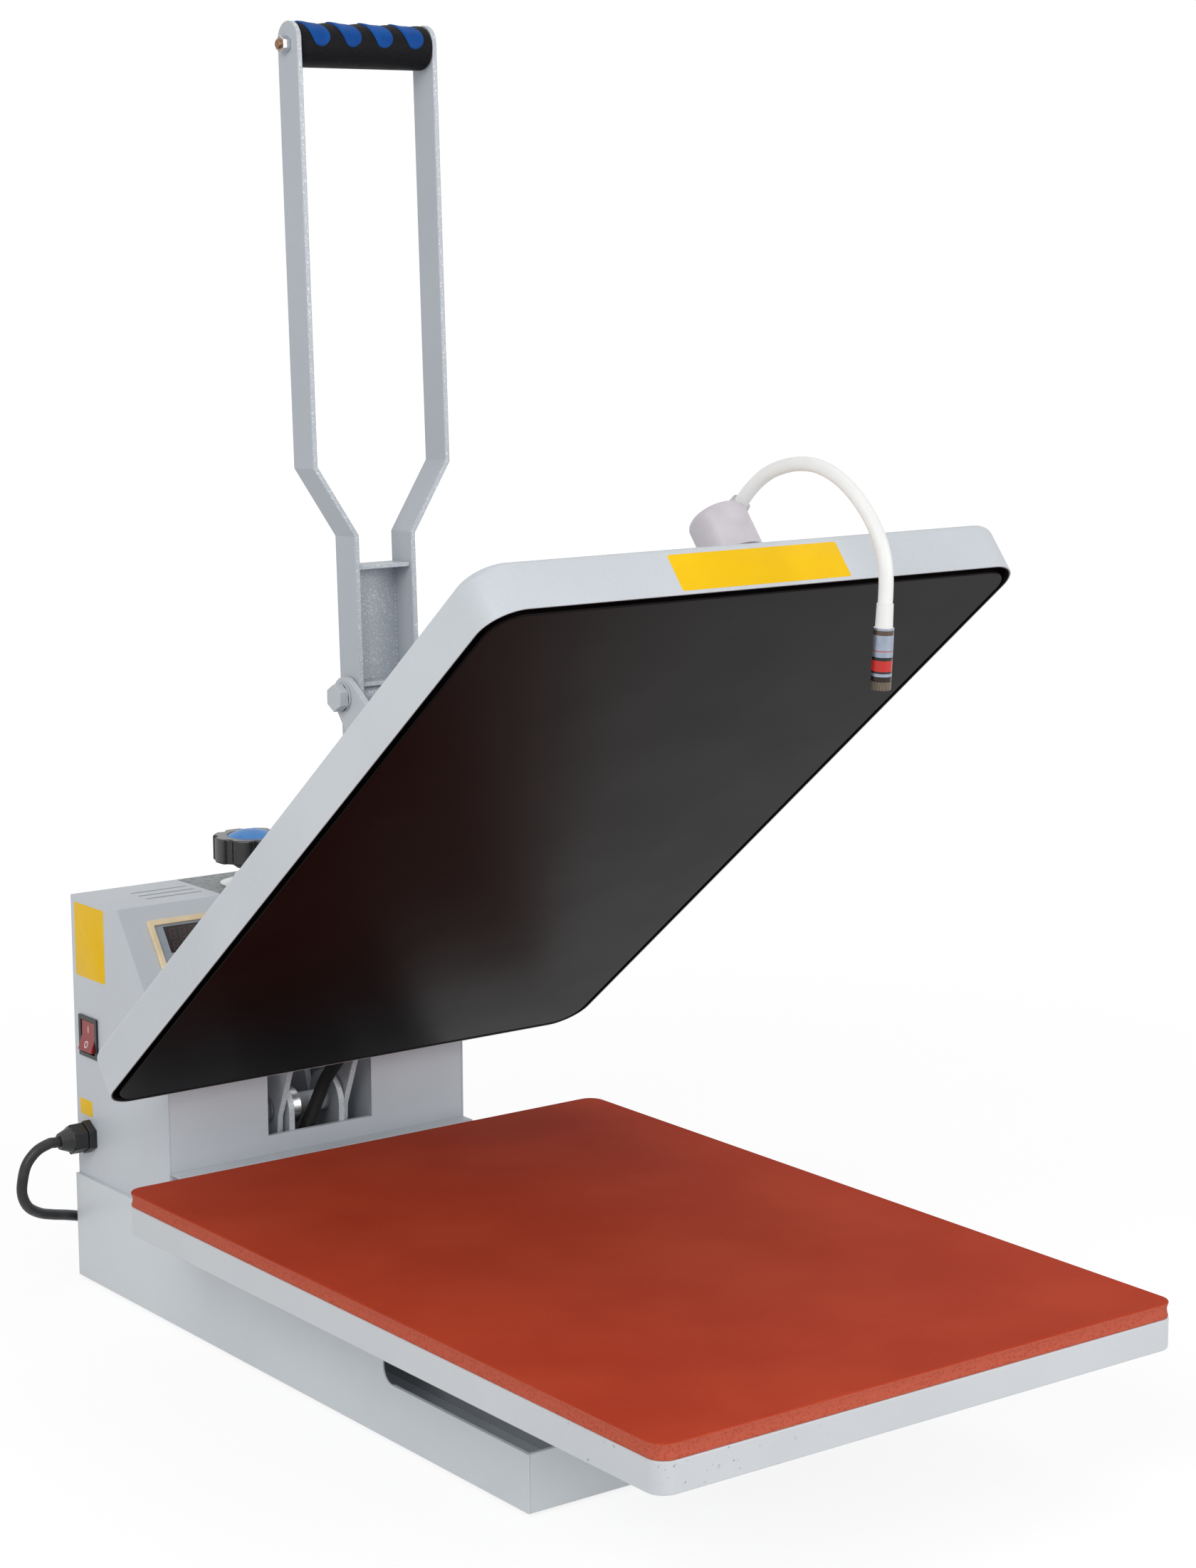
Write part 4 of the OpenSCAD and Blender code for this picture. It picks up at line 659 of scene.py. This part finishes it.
# Unlit digits: two rows of four, seven bars to a digit, in dull brown. The real bars show
# through the smoked lens from behind, and here they are thin bars printed on its face.
DIGIT_BARS = np.array([
    [0.16, 0.84, 0.93, 1.0], [0.16, 0.84, 0.465, 0.535], [0.16, 0.84, 0.0, 0.07],
    [0.0, 0.13, 0.55, 0.97], [0.87, 1.0, 0.55, 0.97], [0.0, 0.13, 0.03, 0.45], [0.87, 1.0, 0.03, 0.45],
])
WINDOW_LEFT = -96.5
DIGIT_START = 3.2
DIGIT_PITCH = 8.1
DIGIT_SLANT = 0.1
BAR_LIFTS = (1.45, 1.53)
corner_pick = np.array([[0, 2], [1, 2], [1, 3], [0, 3]])
bar_rows = []
for row_foot, digit_w, digit_h in ((-29.2, 4.9, 8.2), (-38.2, 4.2, 6.6)):
    left = WINDOW_LEFT + DIGIT_START + np.arange(4) * DIGIT_PITCH
    flat = DIGIT_BARS[:, corner_pick]
    across = left[:, None, None] + flat[None, :, :, 0] * digit_w
    across = across + DIGIT_SLANT * flat[None, :, :, 1] * digit_h
    upward = row_foot + flat[None, :, :, 1] * digit_h + 0 * across
    bar_rows.append(np.stack([across, upward], axis=-1).reshape(-1, 4, 2))
bar_flat = np.vstack(bar_rows)
bar_face = SLOPE_TOP + bar_flat[..., :1] * [1, 0, 0] + bar_flat[..., 1:] * slope_up
bar_solid = np.concatenate([bar_face + lift * slope_out for lift in BAR_LIFTS], axis=1)
box_faces = np.array([
    [3, 2, 1, 0], [4, 5, 6, 7], [0, 1, 5, 4], [1, 2, 6, 5], [2, 3, 7, 6], [3, 0, 4, 7],
])
bar_faces = (np.arange(len(bar_solid))[:, None, None] * 8 + box_faces).reshape(-1, 4)
digit_brown = moulded("digit_brown", paint_rgb(78, 50, 44), paint_rgb(92, 58, 50), 0.3)
piece("display_digits", bar_solid.reshape(-1, 3), bar_faces, digit_brown, "frame", "display_lens", 20)

# Mains switch: a black snap-in frame round a red rocker, with a white bar and ring printed on it.
SWITCH_Y = 0.379
SWITCH_Z = 0.1895
BAR_ABOVE = 0.0058
BAR_HALF_H = 0.0024
BAR_HALF_W = 0.00055
RING_BELOW = 0.0052
RING_R = 0.0021
RING_HALF_W = 0.0005
MARK_BLUR = 0.0001
switch_black = moulded("black_plastic", paint_rgb(24, 24, 26), paint_rgb(34, 34, 36), 0.38)
softened("rocker_bezel", switch_black, 0.4)
rocker_red = Finish("red_rocker", Specular_IOR_Level=0.55)
mark_y = rocker_red.axis(1) - SWITCH_Y
mark_z = rocker_red.axis(2) - SWITCH_Z
bar_sides = mark_y.maths("ABSOLUTE").ramp(BAR_HALF_W + MARK_BLUR, BAR_HALF_W - MARK_BLUR)
bar_ends = (mark_z - BAR_ABOVE).maths("ABSOLUTE").ramp(BAR_HALF_H + MARK_BLUR, BAR_HALF_H - MARK_BLUR)
ring_z = mark_z + RING_BELOW
ring_gap = (mark_y * mark_y + ring_z * ring_z).maths("SQRT") - RING_R
ring_mark = ring_gap.maths("ABSOLUTE").ramp(RING_HALF_W + MARK_BLUR, RING_HALF_W - MARK_BLUR)
marks = (bar_sides * bar_ends + ring_mark).maths("MINIMUM", 1)
red_tone = rocker_red.mix(rocker_red.noise(50, 2), paint_rgb(126, 20, 24), paint_rgb(150, 26, 30))
rocker_red.feed("Base_Color", rocker_red.mix(marks * 0.85, red_tone, paint_rgb(226, 214, 210)))
rocker_red.feed("Roughness", rocker_red.noise(200) * 0.08 + 0.22)
rocker_red.bump(rocker_red.noise(900), 0.00001)
softened("rocker", rocker_red, 0.5)

# Cable gland: a black nylon body screwed through the cover, and the hex cap with a tapered snout
# that grips the lead.
softened("gland_body", switch_black, 0.5)
softened("gland_nut", switch_black, 0.6)

# Pressure knob: a glossy black lobed hand wheel with a blue domed cap snapped into its top.
knob_black = moulded("knob_plastic", paint_rgb(17, 17, 19), paint_rgb(26, 26, 28), 0.26, 0.00001, 0.6)
softened("knob_body", knob_black, 1.3, 26)
cap_blue = moulded("blue_plastic", paint_rgb(34, 112, 186), paint_rgb(46, 128, 198), 0.38, 0.00002)
softened("knob_cap", cap_blue, 0)

# Hot platen: a folded pan of 1.5 mm steel sheet with rolled edges, powder coated outside, with
# painted shade darkening its inside to near black, over a cast plate with a black non-stick coat.
OPEN = math.radians(38.8)
HINGE = np.array([0, 289.0, 138.0])
lid_back = np.array([0, math.cos(OPEN), -math.sin(OPEN)])
lid_up = np.array([0, math.sin(OPEN), math.cos(OPEN)])


def raised(points):
    """Points drawn with the press shut, turned about the hinge to where the open platen is."""
    away = np.asarray(points, float) - HINGE
    return HINGE + away[..., :1] * [1, 0, 0] + away[..., 1:2] * lid_back + away[..., 2:] * lid_up


CASING_MID_Y = 0.389
CASING_FLAT_X = 0.1775
CASING_FLAT_Y = 0.2845
INSIDE_R = 0.0239
INSIDE_TOP = 0.0214
INSIDE_BLUR = 0.0003
casing_coat = Finish("casing_paint", Specular_IOR_Level=0.45)
casing_cloud = casing_coat.noise(7, 3).ramp(0.3, 0.7)
casing_tone = casing_coat.mix(casing_cloud, paint_rgb(191, 196, 202), paint_rgb(199, 204, 209))
casing_speck = casing_coat.noise(1700, 1).ramp(0.62, 0.76) * 0.6
casing_tone = casing_coat.mix(casing_speck, casing_tone, paint_rgb(222, 226, 230))
lid_height = casing_coat.along(tuple(lid_up), tuple(HINGE * MM))
lid_depth = casing_coat.along(tuple(lid_back), tuple(HINGE * MM))
past_x = (casing_coat.axis(0).maths("ABSOLUTE") - CASING_FLAT_X).maths("MAXIMUM", 0)
past_y = ((lid_depth + CASING_MID_Y).maths("ABSOLUTE") - CASING_FLAT_Y).maths("MAXIMUM", 0)
from_wall = (past_x * past_x + past_y * past_y).maths("SQRT").ramp(INSIDE_R, INSIDE_R - INSIDE_BLUR)
# Painted shade: inside the casing's walls and under its top the paint is darkened to near black and
# made rougher.
painted_shade_inside = from_wall * lid_height.ramp(INSIDE_TOP, INSIDE_TOP - INSIDE_BLUR)
casing_coat.feed("Base_Color", casing_coat.mix(painted_shade_inside, casing_tone, paint_rgb(17, 17, 18)))
casing_coat.feed("Roughness", casing_coat.noise(420, 2) * 0.16 + 0.36 + painted_shade_inside * 0.25)
casing_coat.bump(casing_coat.noise(1500, 2), 0.00004)
softened("casing_cover", casing_coat, 0, 35)
coated = Finish("coated_plate", Specular_IOR_Level=0.06)
coated_cloud = coated.noise(5, 4).ramp(0.35, 0.7)
coated.feed("Base_Color", coated.mix(coated_cloud, paint_rgb(10, 6, 6), paint_rgb(17, 14, 14)))
coated.feed("Roughness", coated.noise(14, 3) * 0.1 + 0.33)
coated.bump(coated.noise(1000, 2), 0.00002)
softened("heating_plate", coated, 0.9)
wool = Finish("glass_wool", Roughness=0.9, Specular_IOR_Level=0.1)
fibres = wool.noise(260, 4, 0.7, wool.place((1, 6, 1)))
wool.feed("Base_Color", wool.mix(fibres, paint_rgb(44, 41, 38), paint_rgb(82, 76, 68)))
wool.bump(fibres, 0.0006)
wool.on("insulation_mat")

# Arms: two laser-cut plates welded to brackets on the casing. They carry the handle's pivot bolt
# and swing on the hinge shaft; the heater's cable comes out between them in a black sleeve.
arm_coat = cut_plate_coat("arm_paint", paint_rgb(190, 195, 200))
softened("arm_left", arm_coat, 0.5)
softened("arm_right", arm_coat, 0.5)
sleeve = Finish("cable_sleeve", Roughness=0.5, Specular_IOR_Level=0.35)
weave = sleeve.noise(420, 3, 0.6)
sleeve.feed("Base_Color", sleeve.mix(weave, paint_rgb(14, 14, 15), paint_rgb(34, 33, 34)))
sleeve.bump(weave, 0.0003)
softened("heater_cable", sleeve, 0)
bolt_coat = powder_coat("painted_bolt", paint_rgb(190, 195, 199), 0.00008)
softened("pivot_bolt", bolt_coat, 0.6)

# Labels: three blank yellow films, two on the column's left side and one on the casing's front.
label_yellow = Finish("label_yellow", Specular_IOR_Level=0.2)
label_cloud = label_yellow.noise(40, 3)
label_tone = label_yellow.mix(label_cloud, paint_rgb(233, 184, 1), paint_rgb(242, 196, 8))
label_yellow.feed("Base_Color", label_tone)
label_yellow.feed("Roughness", label_yellow.noise(120) * 0.15 + 0.34)
label_yellow.bump(label_yellow.noise(260, 2), 0.00004)


def film(name, middle, across, upward, out, half_u, half_v, body, place=None):
    """A film 0.12 mm thick with round corners and a turned-down rim, laid on the surface with
    its middle at middle; place carries its points to where its body stands."""
    rows = []
    for inset, lift in ((0, -0.05), (0, 0.07), (0.08, 0.12)):
        flat = rounded_outline(half_u - inset, half_v - inset, 1.5, 5, 6)
        face = np.array(middle) + flat[:, :1] * across + flat[:, 1:] * upward
        rows.append(face + lift * np.array(out))
    rows = np.stack(rows)
    return piece(name, *shell(place(rows) if place else rows), label_yellow, body, "cream_plastic", 30)


X_AXIS = np.array([1.0, 0, 0])
Y_AXIS = np.array([0, 1.0, 0])
Z_AXIS = np.array([0, 0, 1.0])
film("label_side_large", (-127.2, 374.5, 261.5), Y_AXIS, Z_AXIS, -X_AXIS, 22.5, 27.5, "frame")
film("label_side_small", (-127.2, 387.5, 134), Y_AXIS, Z_AXIS, -X_AXIS, 9.5, 6, "frame")
film("label_casing", (-4, -409, 146), X_AXIS, Z_AXIS, -Y_AXIS, 64, 12.5, "hot_platen", raised)

# Laser pointer: a satin mauve cup on the casing's front edge, a white sleeved gooseneck out of
# its collar, and a small laser module in a foil wrap with a knurled focus ring.
CUP = np.array([0, -388.0, 164.8])
neck_route = np.array([
    [14, -11, 33], [15, -22, 34.5], [16, -36, 34], [17, -50, 30], [18.5, -65, 22], [20, -77, 11],
    [21.5, -85.5, -3.5], [22.5, -90, -18.5], [23.5, -91.5, -33.5], [24, -90.5, -47.5],
    [24.5, -87, -59], [24.5, -81.5, -69], [24.5, -75, -77], [24.5, -71, -81.3],
])
NECK_R = 4.35
NECK_IN_COLLAR = 11
NECK_SIDES = 28
cup_mauve = moulded("satin_mauve", paint_rgb(190, 185, 191), paint_rgb(199, 194, 200), 0.36, 0.00001)
softened("laser_base", cup_mauve, 0)
neck_first = neck_route[1] - neck_route[0]
neck_first /= np.linalg.norm(neck_first)
neck_root = neck_route[0] - np.outer([NECK_IN_COLLAR, 1], neck_first)
neck_path = np.vstack([neck_root, flowing(neck_route, 6)])
neck_white = Finish("white_sleeve", Specular_IOR_Level=0.4)
neck_cloud = neck_white.noise(50, 3)
neck_tone = neck_white.mix(neck_cloud, paint_rgb(226, 226, 225), paint_rgb(236, 236, 235))
neck_white.feed("Base_Color", neck_tone)
neck_white.feed("Roughness", neck_white.noise(300) * 0.1 + 0.36)
neck_white.bump(neck_white.noise(700, 2), 0.00001)
neck_rings = tube(raised(neck_path + CUP), NECK_R, NECK_SIDES, (1, 0, 0))
neck = piece("neck_sleeve", *shell(neck_rings), neck_white, "pointer", "white_sleeve")
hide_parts("gooseneck")
MODULE_LEAN = math.radians(42.5)
KNURLS = 44
module_tilt = OPEN - MODULE_LEAN
module_axis = np.array([0, math.sin(module_tilt), math.cos(module_tilt)])
module_root = raised(neck_route[-1] + CUP)
foil = Finish("laser_metal", Specular_IOR_Level=0.5)
down = foil.along(tuple(-module_axis), tuple(module_root * MM)) * 1000


def band(start, end):
    """1 between two distances down the module, in millimetres, and 0 outside them."""
    return down.ramp(start - 0.05, start + 0.05) * down.ramp(end + 0.05, end - 0.05)


foil_tone = foil.mix(foil.noise(300, 3), paint_rgb(138, 149, 166), paint_rgb(162, 172, 186))
foil_tone = foil.mix(band(-1, 14.0), foil_tone, paint_rgb(228, 228, 227))
foil_tone = foil.mix(band(15.2, 18.0), foil_tone, paint_rgb(92, 80, 70))
foil_tone = foil.mix(band(27.0, 27.5), foil_tone, paint_rgb(170, 60, 62))
foil_tone = foil.mix(band(30.8, 40.4), foil_tone, paint_rgb(22, 23, 27))
foil_tone = foil.mix(band(32.8, 39.2), foil_tone, paint_rgb(186, 38, 30))
foil_tone = foil.mix(band(42.2, 46), foil_tone, paint_rgb(52, 47, 44))
foil.feed("Base_Color", foil_tone)
foil.feed("Metallic", 0.75 - band(-1, 14.0) * 0.75 - band(30.8, 40.4) * 0.6)
foil.feed("Roughness", foil.noise(200) * 0.1 + 0.28)
foil.bump(foil.noise(900), 0.00002)
softened("laser_module", foil, 0)
ring_metal = Finish("knurled_brass", Metallic=1.0)
ring_side = np.cross(module_axis, X_AXIS)
ring_u = ring_metal.axis(0) - module_root[0] * MM
ring_v = ring_metal.along(tuple(ring_side), tuple(module_root * MM))
knurl_ridges_and_shade = ring_u.maths("ARCTAN2", ring_v).maths("MULTIPLY", KNURLS).maths("SINE") * 0.5 + 0.5
# Painted shade: the knurl's grooves are painted dark and its ridges light; the same wave also raises
# the bump.
ring_metal.feed("Base_Color", ring_metal.mix(knurl_ridges_and_shade, paint_rgb(60, 52, 44), paint_rgb(150, 138, 122)))
ring_metal.feed("Roughness", ring_metal.noise(300) * 0.15 + 0.32)
ring_metal.bump(knurl_ridges_and_shade, 0.0003)
softened("focus_ring", ring_metal, 0)

# Handle: two bent flat bars joined by a welded channel above the pivot, laser cut and powder
# coated, so that their narrow edges are rough, with painted highlight and painted glints on them.
PIVOT = np.array([0, 171.716, 458.132])
LEAN = math.radians(2)
bar_back = np.array([0, math.cos(LEAN), -math.sin(LEAN)])
bar_up = np.array([0, math.sin(LEAN), math.cos(LEAN)])
GRIP_UP = 442.0


def up_handle(points):
    """Points in the handle's own frame, whose origin is its pivot and whose z runs up the bars."""
    points = np.asarray(points, float)
    return PIVOT + points[..., :1] * [1, 0, 0] + points[..., 1:2] * bar_back + points[..., 2:] * bar_up


handle_coat = cut_plate_coat("handle_paint", paint_rgb(177, 183, 190))
softened("handle_bar_left", handle_coat, 0.7)
softened("handle_bar_right", handle_coat, 0.7)
softened("handle_web", handle_coat, 0.5)
WELD_X = 20.7
WELD_Y = 9.3
WELD_SIDES = 10
weld_z = np.linspace(12, 86, 149)
weld_r = 0.9 + 0.28 * np.sin(weld_z * 2.1) + 0.12 * np.sin(weld_z * 0.77 + 1)
for side, name in ((-1, "weld_left"), (1, "weld_right")):
    weld_x = np.full_like(weld_z, side * WELD_X)
    weld_line = up_handle(np.column_stack([weld_x, np.full_like(weld_z, WELD_Y), weld_z]))
    weld_rings = tube(weld_line, weld_r, WELD_SIDES, (1, 0, 0))
    piece(name, *shell(weld_rings), handle_coat, "handle", "handle_paint")

# Grip: a black foam sleeve with finger waves over a steel tube, with four blue foam inserts let
# into its front. A bolt runs through tube and bars to a plated lock nut, and its other end is
# left bare.
GRIP = up_handle([0, 0, GRIP_UP])
GRIP_R = 15.0
FOAM_HALF = 51.9
FOAM_ROUND = 2.5
FOAM_DROP = 2.0
FINGER_PITCH = 24.0
FINGER_DIP = 1.1
foam_end = np.array([50.0, 51.0, 51.6, FOAM_HALF])
foam_x = np.concatenate([-foam_end[::-1], np.linspace(-48.6, 48.6, 82), foam_end])
foam_turn = np.linspace(0, 2 * math.pi, 64, endpoint=False)


def foam_reach(x, turn):
    """The foam's radius: full, less a finger dip on its upper side, less the end's round-over."""
    fingers = 0.5 + 0.5 * np.cos(2 * math.pi * (x - FINGER_PITCH / 2) / FINGER_PITCH)
    dip = FINGER_DIP * np.clip(np.sin(turn), 0, 1) ** 2 * fingers
    from_end = np.clip((FOAM_HALF - np.abs(x)) / FOAM_ROUND, 0, 1)
    return GRIP_R - dip - FOAM_DROP * (1 - np.sqrt(from_end * (2 - from_end)))


def on_grip(x, turn, lift):
    """Point on the grip at x along it, turned from its front towards its top, lift off the foam."""
    reach = foam_reach(x, turn) + lift
    forward = GRIP[1] - reach * np.cos(turn)
    return np.stack([x + 0 * turn, forward, GRIP[2] + reach * np.sin(turn)], axis=-1)


foam = Finish("grip_foam", Specular_IOR_Level=0.1)
foam_pores = foam.cells(900)
foam.feed("Base_Color", foam.mix(foam_pores.ramp(0.2, 0.6), paint_rgb(8, 8, 10), paint_rgb(19, 19, 22)))
foam.feed("Roughness", foam.noise(120) * 0.15 + 0.5)
foam.bump(foam_pores * 0.7 + foam.noise(160, 2), 0.0003)
foam_rings = on_grip(foam_x[:, None], foam_turn[None, :], 0)
foam_sleeve = piece("foam_sleeve", *shell(foam_rings), foam, "handle", "grip_foam", 50)
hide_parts("grip_foam")
insert_edge = flowing(np.array([
    [-10, 0.2, 0], [-4, 0, 0], [2.5, 0.2, 0], [7.4, 7.5, 0], [10, 15.6, 0], [8.6, 21.6, 0],
    [3.6, 24.8, 0], [-1.2, 24, 0], [-3.4, 20.6, 0], [-6.6, 10.8, 0], [-9.6, 1.6, 0], [-10, 0.2, 0],
]), 5)[:-1, :2]
insert_hub = np.array([1.5, 12.5])
insert_share = (1.0, 1.0, 0.96, 0.88, 0.6, 0.3, 0.05)
insert_lift = (-1.0, 0.25, 0.55, 0.72, 0.78, 0.8, 0.8)
insert_points = []
insert_faces = []
for centre in (-40.7, -15.8, 9.3, 34.2):
    rows = []
    for share, lift in zip(insert_share, insert_lift):
        ring = insert_hub + (insert_edge - insert_hub) * share
        rows.append(on_grip(ring[:, 0] + centre, math.pi / 2 - ring[:, 1] / GRIP_R, lift))
    points, faces = shell(np.stack(rows))
    insert_faces += [[i + sum(map(len, insert_points)) for i in f] for f in faces]
    insert_points.append(points)
insert_blue = moulded("insert_blue", paint_rgb(1, 62, 132), paint_rgb(4, 76, 150), 0.55, 0.00015, 0.15)
piece("grip_inserts", np.vstack(insert_points), insert_faces, insert_blue, "handle", "blue_plastic", 50)
BARE_FROM = -0.0618
BARE_TO = -0.0621
chrome = Finish("chrome_nut", Metallic=1.0)
bare_end = chrome.axis(0).ramp(BARE_FROM, BARE_TO)
chrome_tone = chrome.mix(chrome.noise(200, 3), paint_rgb(196, 197, 200), paint_rgb(222, 223, 225))
chrome.feed("Base_Color", chrome.mix(bare_end, chrome_tone, paint_rgb(140, 108, 84)))
chrome.feed("Roughness", chrome.noise(300) * 0.1 + 0.18 + bare_end * 0.2)
chrome.bump(chrome.noise(700), 0.00002)
softened("grip_bolt", chrome, 0.4)
